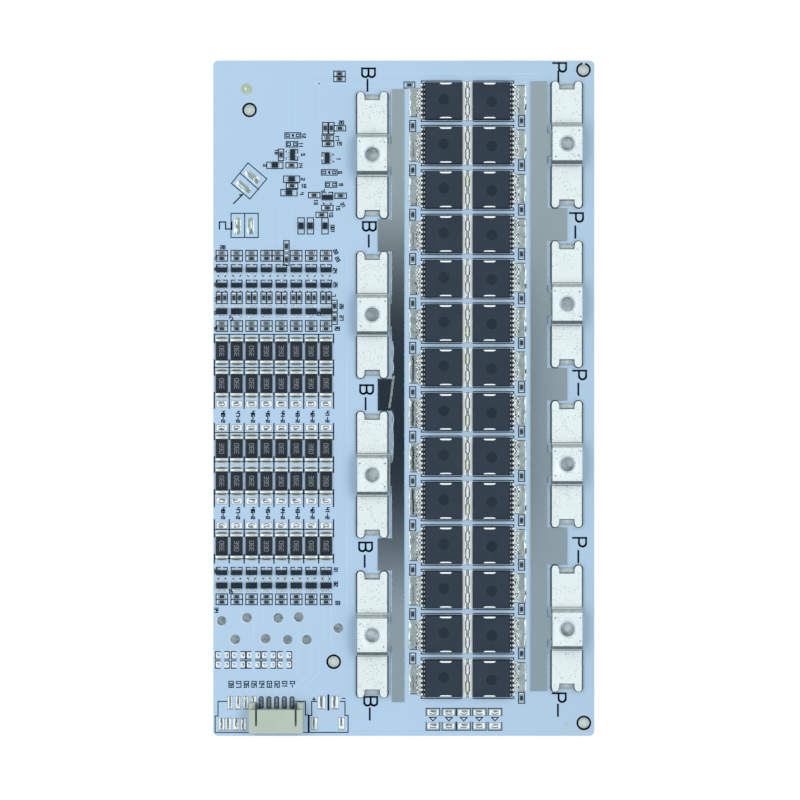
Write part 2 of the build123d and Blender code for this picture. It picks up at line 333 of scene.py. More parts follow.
def chain(points: Sequence[Sequence[float]], closed: bool = False) -> np.ndarray:
    """The runs between neighbouring points of a line.

    Args:
        points: The line's points.
        closed: Whether a run leads from the last point back to the first.

    Returns:
        Rows of x and y of the start and end of each run, for bars.
    """
    points = np.asarray(points, float)
    start = points if closed else points[:-1]
    end = np.roll(points, -1, 0)[: len(start)]
    return np.hstack([start, end])


def smooth_noise(shape: tuple[int, int], coarse: tuple[int, int], seed: int) -> np.ndarray:
    """Seeded noise between -1 and 1 that changes smoothly over a grid.

    Random values on a coarse grid are blended with eased weights at each point of the fine one.

    Args:
        shape: Rows and columns of the result.
        coarse: Rows and columns of cells of the coarse grid.
        seed: The seed.

    Returns:
        The values.
    """
    values = np.random.default_rng(seed).uniform(-1, 1, (coarse[0] + 2, coarse[1] + 2))
    u = np.linspace(0, coarse[0], shape[0])
    v = np.linspace(0, coarse[1], shape[1])
    iu, iv = u.astype(int), v.astype(int)
    fu, fv = u - iu, v - iv
    fu, fv = (fu * fu * (3 - 2 * fu))[:, None], (fv * fv * (3 - 2 * fv))[None]
    low = values[np.ix_(iu, iv)] * (1 - fv) + values[np.ix_(iu, iv + 1)] * fv
    high = values[np.ix_(iu + 1, iv)] * (1 - fv) + values[np.ix_(iu + 1, iv + 1)] * fv
    return low * (1 - fu) + high * fu


def grid_faces(rows: int, columns: int) -> np.ndarray:
    """The four point numbers of each cell of a grid whose points are counted row by row."""
    index = np.arange(rows * columns).reshape(rows, columns)
    return np.stack([index[:-1, :-1], index[1:, :-1], index[1:, 1:], index[:-1, 1:]], -1).reshape(-1, 4)


def quilt(x: np.ndarray, y: np.ndarray, z: np.ndarray, base: float, finish: int = 0) -> Form:
    """A closed slab whose upper face is a grid of heights and whose lower face is flat.

    Args:
        x: The grid's x at each row and column.
        y: The grid's y at each row and column.
        z: The grid's height at each row and column.
        base: The height of the lower face.
        finish: The number of the finish.

    Returns:
        The closed form.
    """
    rows, columns = z.shape
    index = np.arange(rows * columns).reshape(rows, columns)
    rim = np.concatenate([index[:-1, 0], index[-1, :-1], index[:0:-1, -1], index[0, :0:-1]])
    points = np.stack([x, y, z], -1).reshape(-1, 3)
    lower = points[rim].copy()
    lower[:, 2] = base
    under = np.arange(len(rim)) + rows * columns
    walls = np.stack([rim, under, np.roll(under, -1), np.roll(rim, -1)], -1)
    groups = (grid_faces(rows, columns), walls, under[None, ::-1])
    return Form(np.vstack([points, lower]), groups, (finish,) * 3)


# Pieces


def mesh_of(form: Form, name: str) -> bpy.types.Mesh:
    """A Blender mesh in metres from a form in millimetres.

    Args:
        form: The form.
        name: The mesh's name.

    Returns:
        The mesh, each face with the number of its finish.
    """
    counts = [len(group) for group in form.faces]
    sizes = np.repeat([group.shape[1] for group in form.faces], counts)
    numbers = np.repeat(form.finishes, counts)
    around = np.concatenate([group.ravel() for group in form.faces])
    mesh = bpy.data.meshes.new(name)
    mesh.vertices.add(len(form.points))
    mesh.vertices.foreach_set("co", (form.points * MM).ravel())
    mesh.loops.add(len(around))
    mesh.loops.foreach_set("vertex_index", around.astype(np.int32))
    mesh.polygons.add(len(sizes))
    mesh.polygons.foreach_set("loop_start", (np.cumsum(sizes) - sizes).astype(np.int32))
    mesh.polygons.foreach_set("material_index", numbers.astype(np.int32))
    mesh.update(calc_edges=True)
    mesh.validate()
    return mesh


@dataclass
class Piece:
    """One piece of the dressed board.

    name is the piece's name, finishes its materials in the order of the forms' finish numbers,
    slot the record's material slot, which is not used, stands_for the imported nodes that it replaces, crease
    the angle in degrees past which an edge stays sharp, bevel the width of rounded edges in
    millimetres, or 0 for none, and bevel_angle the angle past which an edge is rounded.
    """

    name: str
    finishes: Sequence[bpy.types.Material]
    slot: str
    stands_for: Sequence[str] = ()
    crease: float = 38.0
    bevel: float = 0.0
    bevel_angle: float = 50.0

    def finish_mesh(self, mesh: bpy.types.Mesh) -> bpy.types.Object:
        """Turns a mesh into the piece: materials, soft and sharp edges, bevel and body.

        Args:
            mesh: The mesh, each face with the number of its finish.

        Returns:
            The piece.
        """
        for material in self.finishes:
            mesh.materials.append(material)
        mesh.shade_smooth()
        mesh.set_sharp_from_angle(angle=math.radians(self.crease))
        piece = bpy.data.objects.new(self.name, mesh)
        bpy.context.scene.collection.objects.link(piece)
        if self.bevel:
            rounding = piece.modifiers.new("rounded_edges", "BEVEL")
            rounding.width = self.bevel * MM
            rounding.segments = 2
            rounding.limit_method = "ANGLE"
            rounding.angle_limit = math.radians(self.bevel_angle)
            rounding.harden_normals = True
        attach(piece, "root")
        if self.stands_for:
            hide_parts(*self.stands_for)
        LOG.info("%s: %d faces", self.name, len(mesh.polygons))
        return piece

    def from_form(self, form: Form) -> bpy.types.Object:
        """Makes the piece from a form in millimetres."""
        return self.finish_mesh(mesh_of(form, self.name))

    def from_node(self, node: str) -> bpy.types.Object:
        """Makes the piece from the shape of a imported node, its loose triangles merged."""
        return self.from_form(merged(form_of_node(node), 1e-3))


def form_of_node(node: str) -> Form:
    """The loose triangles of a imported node.

    Args:
        node: The node's name.

    Returns:
        The triangles as a form in millimetres.
    """
    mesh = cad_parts[node].data
    points = np.empty(len(mesh.vertices) * 3, np.float32)
    mesh.vertices.foreach_get("co", points)
    around = np.empty(len(mesh.loops), np.int32)
    mesh.loops.foreach_get("vertex_index", around)
    return Form(points.reshape(-1, 3).astype(float) / MM, (around.reshape(-1, 3),), (0,))


def node_box(node: str) -> np.ndarray:
    """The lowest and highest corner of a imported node, in millimetres."""
    return np.array([list(corner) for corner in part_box(node)]) / MM


def middle_and_size(box: np.ndarray) -> tuple[np.ndarray, np.ndarray]:
    """The middle and the size of a box that is given by its lowest and highest corner."""
    return (box[0] + box[1]) / 2, box[1] - box[0]


def package_boxes(side: str) -> np.ndarray:
    """The boxes of the fourteen power packages on one side, from the top of the board down."""
    return np.array([node_box(f"power_transistor_{side}_{number:02d}") for number in range(1, 15)])


def solids_in(node: str) -> np.ndarray:
    """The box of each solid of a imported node.

    Triangles that share a point belong to one solid, which is found by handing the lowest
    number round each solid until nothing changes.

    Args:
        node: The node's name.

    Returns:
        Solids by two corners by three coordinates, in the order in which they were built.
    """
    form = merged(form_of_node(node), 1e-3)
    faces = form.faces[0]
    label = np.arange(len(form.points))
    while True:
        lowest = label[faces].min(1)
        spread = label.copy()
        np.minimum.at(spread, faces.ravel(), np.repeat(lowest, 3))
        if np.array_equal(spread, label):
            break
        label = spread
    names = np.unique(label)
    low = np.array([form.points[label == name].min(0) for name in names])
    high = np.array([form.points[label == name].max(0) for name in names])
    return np.stack([low, high], 1)


# Finishes


def tone(red: float, green: float, blue: float) -> Tone:
    """A colour given as it shows on a screen, 0 to 255, as the linear values that shaders use."""
    values = np.array([red, green, blue]) / 255
    linear = np.where(values <= 0.04045, values / 12.92, ((values + 0.055) / 1.055) ** 2.4)
    return (*(float(value) for value in linear), 1.0)


class Shading:
    """Adds and joins nodes in one node tree."""

    def __init__(self, tree: bpy.types.NodeTree) -> None:
        """Takes the tree that the nodes go into."""
        self.tree = tree

    def add(self, kind: str, sockets: dict[str | int, object] | None = None,
            **settings: object) -> bpy.types.Node:
        """Adds a node.

        Args:
            kind: The node's type name.
            sockets: What each input takes: another node's output, or a value.
            settings: The node's own settings.

        Returns:
            The node.
        """
        node = self.tree.nodes.new(kind)
        for name, value in settings.items():
            setattr(node, name, value)
        for name, value in (sockets or {}).items():
            socket = node.inputs[name]
            if isinstance(value, bpy.types.NodeSocket):
                self.tree.links.new(value, socket)
            else:
                socket.default_value = value
        return node

    def number(self, operation: str, first: object, second: object = 0.0, third: object = 0.0,
               clamp: bool = False) -> bpy.types.NodeSocket:
        """The output of a sum on numbers."""
        node = self.add("ShaderNodeMath", {0: first, 1: second, 2: third}, operation=operation)
        node.use_clamp = clamp
        return node.outputs[0]

    def mirrored(self, path: bpy.types.Node) -> bpy.types.NodeSocket:
        """Whether a ray comes from something that mirrors or refracts, 1 or 0."""
        return self.number("MAXIMUM", path.outputs["Is Glossy Ray"], path.outputs["Is Transmission Ray"])

    def ramp(self, value: object, low: float, high: float, to_low: float = 0.0,
             to_high: float = 1.0) -> bpy.types.NodeSocket:
        """A value carried from one range to another, held at both ends."""
        sockets = {"Value": value, "From Min": low, "From Max": high, "To Min": to_low, "To Max": to_high}
        return self.add("ShaderNodeMapRange", sockets).outputs["Result"]

    def blend(self, share: object, first: object, second: object) -> bpy.types.NodeSocket:
        """A colour between two others."""
        node = self.add("ShaderNodeMix", {0: share, 6: first, 7: second}, data_type="RGBA")
        return node.outputs[2]


class Effect(Enum):
    """The shader node groups that several finishes share."""

    MOTTLE = "cloudy change of tone"
    GRAIN = "fine grain"
    SPECKS = "scattered specks"


@dataclass
class Effects:
    """Builds each shared effect once and hands it out."""

    made: dict[Effect, bpy.types.NodeTree] = field(default_factory=dict)

    def group(self, effect: Effect) -> bpy.types.NodeTree:
        """The node group of an effect, which is built the first time that it is asked for.

        Args:
            effect: The effect.

        Returns:
            Its node group.
        """
        if effect not in self.made:
            builders = {Effect.MOTTLE: self.mottle, Effect.GRAIN: self.grain, Effect.SPECKS: self.specks}
            self.made[effect] = builders[effect]()
        return self.made[effect]

    def empty(self, name: str, inputs: dict[str, float],
              outputs: Sequence[str]) -> tuple[Shading, bpy.types.Node, bpy.types.Node]:
        """A new group with a vector input, number inputs and number outputs.

        Args:
            name: The group's name.
            inputs: Each number input and its value when nothing is joined to it.
            outputs: The names of the number outputs.

        Returns:
            The group's shading, its input node and its output node.
        """
        tree = bpy.data.node_groups.new(name, "ShaderNodeTree")
        tree.interface.new_socket("Vector", in_out="INPUT", socket_type="NodeSocketVector")
        for key, value in inputs.items():
            socket = tree.interface.new_socket(key, in_out="INPUT", socket_type="NodeSocketFloat")
            socket.default_value = value
        for key in outputs:
            tree.interface.new_socket(key, in_out="OUTPUT", socket_type="NodeSocketFloat")
        shading = Shading(tree)
        return shading, shading.add("NodeGroupInput"), shading.add("NodeGroupOutput")

    def mottle(self) -> bpy.types.NodeTree:
        """Soft clouds from layered noise, as a mask from 0 to 1."""
        shading, given, result = self.empty("mottle", {"Scale": 100.0, "Contrast": 1.0}, ["Mask"])
        sockets = {"Vector": given.outputs["Vector"], "Scale": given.outputs["Scale"], "Detail": 4.0,
                   "Roughness": 0.55}
        noise = shading.add("ShaderNodeTexNoise", sockets).outputs["Fac"]
        centred = shading.number("SUBTRACT", noise, 0.5)
        spread = shading.number("MULTIPLY_ADD", centred, given.outputs["Contrast"], 0.5, clamp=True)
        shading.tree.links.new(spread, result.inputs["Mask"])
        return shading.tree

    def grain(self) -> bpy.types.NodeTree:
        """A fine even grain: the sum of a fine noise and a share of a wider one, as a height."""
        shading, given, result = self.empty("grain", {"Scale": 3000.0}, ["Height"])
        fine = {"Vector": given.outputs["Vector"], "Scale": given.outputs["Scale"], "Detail": 3.0}
        half = shading.number("MULTIPLY", given.outputs["Scale"], 0.37)
        wide = {"Vector": given.outputs["Vector"], "Scale": half, "Detail": 2.0}
        first = shading.add("ShaderNodeTexNoise", fine).outputs["Fac"]
        second = shading.add("ShaderNodeTexNoise", wide).outputs["Fac"]
        total = shading.number("MULTIPLY_ADD", second, 0.6, first)
        shading.tree.links.new(total, result.inputs["Height"])
        return shading.tree

    def specks(self) -> bpy.types.NodeTree:
        """Small round specks at scattered cells, drawn only in some places.

        A speck shows where the distance to its cell's point is under the size, and where a
        slower noise lies above the threshold.
        """
        inputs = {"Scale": 900.0, "Size": 0.25, "Threshold": 0.5}
        shading, given, result = self.empty("specks", inputs, ["Mask"])
        sockets = {"Vector": given.outputs["Vector"], "Scale": given.outputs["Scale"]}
        cells = shading.add("ShaderNodeTexVoronoi", sockets)
        near = shading.number("LESS_THAN", cells.outputs["Distance"], given.outputs["Size"])
        slow = shading.number("MULTIPLY", given.outputs["Scale"], 0.23)
        cloud = {"Vector": given.outputs["Vector"], "Scale": slow, "Detail": 3.0}
        noise = shading.add("ShaderNodeTexNoise", cloud).outputs["Fac"]
        some = shading.number("GREATER_THAN", noise, given.outputs["Threshold"])
        mask = shading.number("MULTIPLY", near, some)
        shading.tree.links.new(mask, result.inputs["Mask"])
        return shading.tree


EFFECTS = Effects()


@dataclass(frozen=True)
class Finish:
    """A finish with two tones that change into each other, grain and optional specks.

    light and dark are the two tones, cloud the scale of the change between them for each metre
    and contrast how hard it changes. grain is the scale of the bump and bump its depth in metres.
    specks is the share of the surface that may carry specks, with their scale, size and tone.
    roughness swings by roughness_change between the tones, and specular is how much a dull
    surface mirrors.
    """

    name: str
    light: Tone
    dark: Tone
    metallic: float = 0.0
    roughness: float = 0.5
    cloud: float = 150.0
    contrast: float = 1.4
    grain: float = 3000.0
    bump: float = 0.0
    specks: float = 0.0
    speck_scale: float = 1400.0
    speck_size: float = 0.22
    speck_tone: Tone = (0.05, 0.05, 0.05, 1.0)
    roughness_change: float = 0.08
    specular: float = 0.5

    def make(self) -> bpy.types.Material:
        """Builds the material's nodes.

        Returns:
            The material.
        """
        material = bpy.data.materials.new(self.name)
        material.use_nodes = True
        tree = material.node_tree
        tree.nodes.clear()
        shading = Shading(tree)
        place = shading.add("ShaderNodeTexCoord").outputs["Object"]
        surface = shading.add("ShaderNodeBsdfPrincipled", {"Metallic": self.metallic})
        surface.inputs["Specular IOR Level"].default_value = self.specular
        mask = self.effect(shading, Effect.MOTTLE, place, Scale=self.cloud, Contrast=self.contrast)
        colour = shading.blend(mask, self.dark, self.light)
        colour = self.over(shading, place, colour)
        if self.specks:
            dots = self.effect(shading, Effect.SPECKS, place, Scale=self.speck_scale,
                               Size=self.speck_size, Threshold=1 - self.specks)
            colour = shading.blend(dots, colour, self.speck_tone)
        shading.tree.links.new(colour, surface.inputs["Base Color"])
        rough = shading.ramp(mask, 0.0, 1.0, self.roughness + self.roughness_change,
                             self.roughness - self.roughness_change)
        shading.tree.links.new(rough, surface.inputs["Roughness"])
        if self.bump:
            height = self.relief(shading, place)
            bump = shading.add("ShaderNodeBump", {"Height": height, "Distance": self.bump, "Strength": 1.0})
            shading.tree.links.new(bump.outputs["Normal"], surface.inputs["Normal"])
        output = shading.add("ShaderNodeOutputMaterial")
        tree.links.new(surface.outputs["BSDF"], output.inputs["Surface"])
        return material

    def effect(self, shading: Shading, effect: Effect, place: object,
               **values: float) -> bpy.types.NodeSocket:
        """Places a shared effect with its own values.

        Args:
            shading: The material's shading.
            effect: The effect.
            place: The output that gives the place on the object.
            values: The value of each number input.

        Returns:
            The effect's output.
        """
        node = shading.add("ShaderNodeGroup", node_tree=EFFECTS.group(effect))
        shading.tree.links.new(place, node.inputs["Vector"])
        for key, value in values.items():
            node.inputs[key].default_value = value
        return node.outputs[0]

    def over(self, shading: Shading, place: object, colour: object) -> bpy.types.NodeSocket:
        """What a finish paints over its two tones; nothing, unless a finish says otherwise."""
        return colour

    def relief(self, shading: Shading, place: object) -> bpy.types.NodeSocket:
        """The height that the bump is made from."""
        return self.effect(shading, Effect.GRAIN, place, Scale=self.grain)


@dataclass(frozen=True)
class MaskFinish(Finish):
    """The board's pale solder mask, with painted shade that turns it greyer towards its right edge.

    Its last two fields are the greyer tone of the painted shade, and reach, how far from the middle that tone
    is full, in metres.
    """

    shaded_tone: Tone = (0.4, 0.55, 0.7, 1.0)
    reach: float = 0.05

    def over(self, shading: Shading, place: object, colour: object) -> bpy.types.NodeSocket:
        """Blends in the painted shade's greyer tone, by up to three quarters, in step with the place along X.
        """
        split = shading.add("ShaderNodeSeparateXYZ", {"Vector": place})
        share = shading.ramp(split.outputs["X"], 0.0, self.reach, 0.0, 0.75)
        return shading.blend(share, colour, self.shaded_tone)


@dataclass(frozen=True)
class SolderFinish(Finish):
    """Solder that has flowed and set in lumps: a wrinkled relief over a bright metal."""

    def relief(self, shading: Shading, place: object) -> bpy.types.NodeSocket:
        """Layered noise whose folds stand up as soft ridges."""
        sockets = {"Vector": place, "Scale": self.grain, "Detail": 3.0, "Roughness": 0.5,
                   "Distortion": 0.6}
        return shading.add("ShaderNodeTexNoise", sockets).outputs["Fac"]


class Finishes:
    """Every finish of the board, each made once."""

    def __init__(self) -> None:
        """Makes the materials."""
        # The mask's greyer tone towards the right edge is painted shade.
        self.mask = MaskFinish(
            "solder_mask", tone(182, 208, 234), tone(177, 204, 230), roughness=0.45, cloud=28.0,
            contrast=1.6, bump=6e-6, grain=1600.0, shaded_tone=tone(172, 198, 218)).make()
        self.trace_mask = Finish(
            "mask_over_copper", tone(185, 213, 238), tone(180, 208, 234), roughness=0.42,
            cloud=60.0).make()
        self.base_metal = Finish(
            "base_metal", tone(196, 199, 203), tone(176, 180, 186), metallic=0.9, roughness=0.38,
            cloud=60.0, bump=8e-6, grain=2400.0).make()
        self.print_ink = Finish(
            "print_ink", tone(8, 20, 40), tone(16, 30, 52), roughness=0.7, specular=0.1, cloud=900.0,
            contrast=2.0).make()
        # Besides dark residue, this finish paints shade under the power leads and in the socket's slots, and
        # a dark reflection on some source pads.
        self.residue_and_shade = Finish(
            "dark_residue_and_painted_shade", tone(46, 62, 70), tone(28, 42, 52), cloud=1500.0, contrast=3.0).make()
        self.terminal = Finish(
            "terminal_tin", tone(234, 241, 241), tone(222, 231, 232), metallic=0.12, roughness=0.42,
            cloud=220.0, contrast=1.6, bump=1.2e-5, grain=1500.0, specks=0.5, speck_scale=2100.0,
            speck_size=0.24, speck_tone=tone(158, 169, 172)).make()
        # Besides dark seams and pits, this finish paints the shade in the terminals' foot creases.
        self.seam = Finish(
            "dark_seam_and_crease_shade", tone(86, 100, 108), tone(56, 70, 80), cloud=900.0, contrast=2.5,
            specular=0.2).make()
        # The grey clouds of this finish are painted shade at the bottom of the terminals' holes.
        self.hole_floor = Finish(
            "hole_floor", tone(244, 252, 254), tone(150, 160, 164), cloud=300.0, contrast=3.0,
            specular=0.3).make()
        # Besides the duller cut edge, this finish paints shade on the terminals' sides and in the seam round
        # their feet.
        self.cut_edge_and_shade = Finish(
            "cut_edge_and_shade", tone(112, 126, 132), tone(84, 98, 106), cloud=700.0, contrast=2.0,
            specular=0.2).make()
        self.bend_lit = Finish(
            "bend_towards_light", tone(184, 194, 194), tone(150, 161, 162), cloud=900.0, contrast=2.0,
            specular=0.2).make()
        self.bend_dark = Finish(
            "bend_from_light", tone(112, 124, 124), tone(84, 96, 98), cloud=900.0, contrast=2.0,
            specular=0.2).make()
        # Besides pooled solder, this finish paints the shade on the terminals' threaded bores.
        self.pool = SolderFinish(
            "pooled_solder_and_bore_shade", tone(206, 216, 219), tone(158, 172, 178), metallic=0.35, roughness=0.3,
            cloud=420.0, contrast=2.0, bump=4e-5, grain=700.0).make()
        self.strip = Finish(
            "strip_tin", tone(214, 224, 231), tone(206, 218, 225), metallic=1.0, roughness=0.1,
            cloud=40.0, contrast=1.0, roughness_change=0.015, bump=1.5e-6, grain=900.0).make()
        self.lead = Finish(
            "lead_tin", tone(232, 238, 238), tone(206, 214, 216), metallic=0.6, roughness=0.3,
            cloud=700.0, bump=1e-5, grain=2500.0).make()
        self.bright_tin = Finish(
            "bright_tin", tone(255, 255, 255), tone(246, 250, 251), roughness=0.3, cloud=900.0,
            contrast=1.5, bump=8e-6).make()
        self.solder = SolderFinish(
            "solder", tone(240, 246, 244), tone(150, 162, 164), metallic=0.9, roughness=0.2,
            cloud=1100.0, contrast=3.0, bump=1.6e-4, grain=1300.0).make()
        # Besides solder beads, this white finish paints highlights along the source pads' outer edges and on
        # one side of the round pads.
        self.beads = SolderFinish(
            "beaded_solder_and_painted_highlight", tone(255, 255, 255), tone(214, 224, 226), metallic=0.1, roughness=0.25,
            cloud=1700.0, contrast=3.0, bump=1.0e-4, grain=1900.0).make()
        self.tab_tin = Finish(
            "tab_tin", tone(252, 255, 254), tone(236, 243, 242), roughness=0.35, cloud=900.0,
            contrast=1.6, bump=1e-5, grain=2500.0).make()
        self.pad_solder = SolderFinish(
            "pad_solder", tone(196, 206, 204), tone(164, 176, 176), metallic=0.9, roughness=0.26,
            cloud=420.0, contrast=2.4, bump=4.5e-5, grain=620.0).make()
        self.flat_solder = SolderFinish(
            "levelled_solder", tone(192, 204, 202), tone(146, 162, 164), metallic=0.85, roughness=0.24,
            cloud=500.0, contrast=2.4, bump=1.2e-4, grain=600.0).make()
        self.round_solder = SolderFinish(
            "round_pad_solder", tone(146, 158, 162), tone(92, 106, 115), metallic=0.3, roughness=0.4,
            cloud=900.0, contrast=3.0, bump=6e-5, grain=1500.0).make()
        self.dull_solder = Finish(
            "dull_solder", tone(150, 160, 158), tone(96, 108, 108), cloud=1600.0, contrast=4.0,
            specular=0.3).make()
        self.bare_coat = Finish(
            "bare_metal_coat", tone(190, 205, 176), tone(160, 178, 158), roughness=0.45, cloud=1400.0,
            contrast=2.5, specular=0.3).make()
        self.lap_coat = Finish(
            "lap_coat", tone(182, 202, 216), tone(158, 178, 192), cloud=900.0, contrast=2.5,
            specular=0.3).make()
        self.flux = Finish(
            "flux_tinted_solder", tone(240, 246, 226), tone(220, 229, 200), metallic=0.1,
            roughness=0.25, cloud=900.0, contrast=2.0, bump=4e-5, grain=1500.0).make()
        self.moulding = Finish(
            "dark_moulding", tone(45, 60, 74), tone(37, 51, 64), roughness=0.6, specular=0.2,
            cloud=180.0, contrast=1.2, bump=1.2e-5, grain=6000.0, roughness_change=0.05).make()
        self.dimple = Finish(
            "dimple_moulding", tone(28, 42, 55), tone(22, 36, 48), roughness=0.6, specular=0.2,
            cloud=300.0, bump=6e-6, grain=5000.0).make()
        self.small_moulding = Finish(
            "small_moulding", tone(22, 42, 56), tone(13, 30, 43), roughness=0.55, specular=0.2,
            cloud=600.0, contrast=1.6, bump=1e-5, grain=6000.0).make()
        self.overglaze = Finish(
            "overglaze", tone(22, 34, 46), tone(12, 24, 36), roughness=0.45, specular=0.25,
            cloud=500.0, contrast=1.6, bump=4e-6).make()
        self.chip_glaze = Finish(
            "chip_glaze", tone(46, 58, 66), tone(24, 36, 47), roughness=0.45, cloud=1800.0,
            contrast=3.0, specular=0.25).make()
        self.marking = Finish(
            "marking", tone(168, 176, 179), tone(120, 130, 135), roughness=0.6, cloud=2600.0,
            contrast=3.0).make()
        self.ceramic = Finish(
            "capacitor_ceramic", tone(104, 110, 106), tone(76, 84, 84), roughness=0.45, specular=0.3,
            cloud=900.0, bump=6e-6, grain=4000.0).make()
        self.cap = Finish(
            "end_cap_tin", tone(214, 222, 220), tone(186, 196, 196), metallic=0.6, roughness=0.34,
            cloud=1200.0, contrast=2.0, bump=2e-5, grain=2500.0).make()
        self.chip_cap = Finish(
            "chip_cap_tin", tone(186, 197, 200), tone(146, 160, 166), metallic=0.4, roughness=0.34,
            cloud=1500.0, contrast=2.5, bump=2e-5, grain=2500.0).make()
        self.nylon = Finish(
            "socket_nylon", tone(186, 198, 182), tone(178, 191, 174), cloud=160.0, bump=6e-6).make()


# Sub-assemblies


@dataclass
class Plan:
    """Where the board lies, in millimetres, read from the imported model."""

    left: float
    right: float
    top: float
    face: float

    @staticmethod
    def read() -> "Plan":
        """Reads the board's box from the frame."""
        low, high = node_box("circuit_board")
        return Plan(low[0], high[0], high[1], high[2])

    def at(self, across: float, down: float) -> tuple[float, float]:
        """A place on the board from its left and top edges."""
        return self.left + across, self.top - down

    def places(self, spots: Iterable[Sequence[float]], turn: float = 0.0) -> np.ndarray:
        """Places on the board's face.

        Args:
            spots: Rows of the distance from the left edge and from the top edge.
            turn: The angle of all places in degrees.

        Returns:
            Rows of x, y, z and angle.
        """
        spots = np.asarray(list(spots), float).reshape(-1, 2)
        rows = np.zeros((len(spots), 4))
        rows[:, 0] = self.left + spots[:, 0]
        rows[:, 1] = self.top - spots[:, 1]
        rows[:, 2] = self.face
        rows[:, 3] = turn
        return rows


@dataclass
class CircuitBoard:
    """The board: a metal base with pale solder mask on the face that carries the parts."""

    plan: Plan
    finishes: Finishes
    edge: float = 0.12

    def build(self) -> None:
        """Builds the plate, its upper face masked and its sides and underside bare metal."""
        form = merged(form_of_node("circuit_board"), 1e-3)
        triangles = form.faces[0]
        upper = (form.points[triangles][:, :, 2] > self.plan.face - 1e-3).all(1)
        plate = Form(form.points, (triangles[upper], triangles[~upper]), (0, 1))
        Piece("board_plate", [self.finishes.mask, self.finishes.base_metal], "solder_mask",
              ["circuit_board"], bevel=self.edge).from_form(plate)


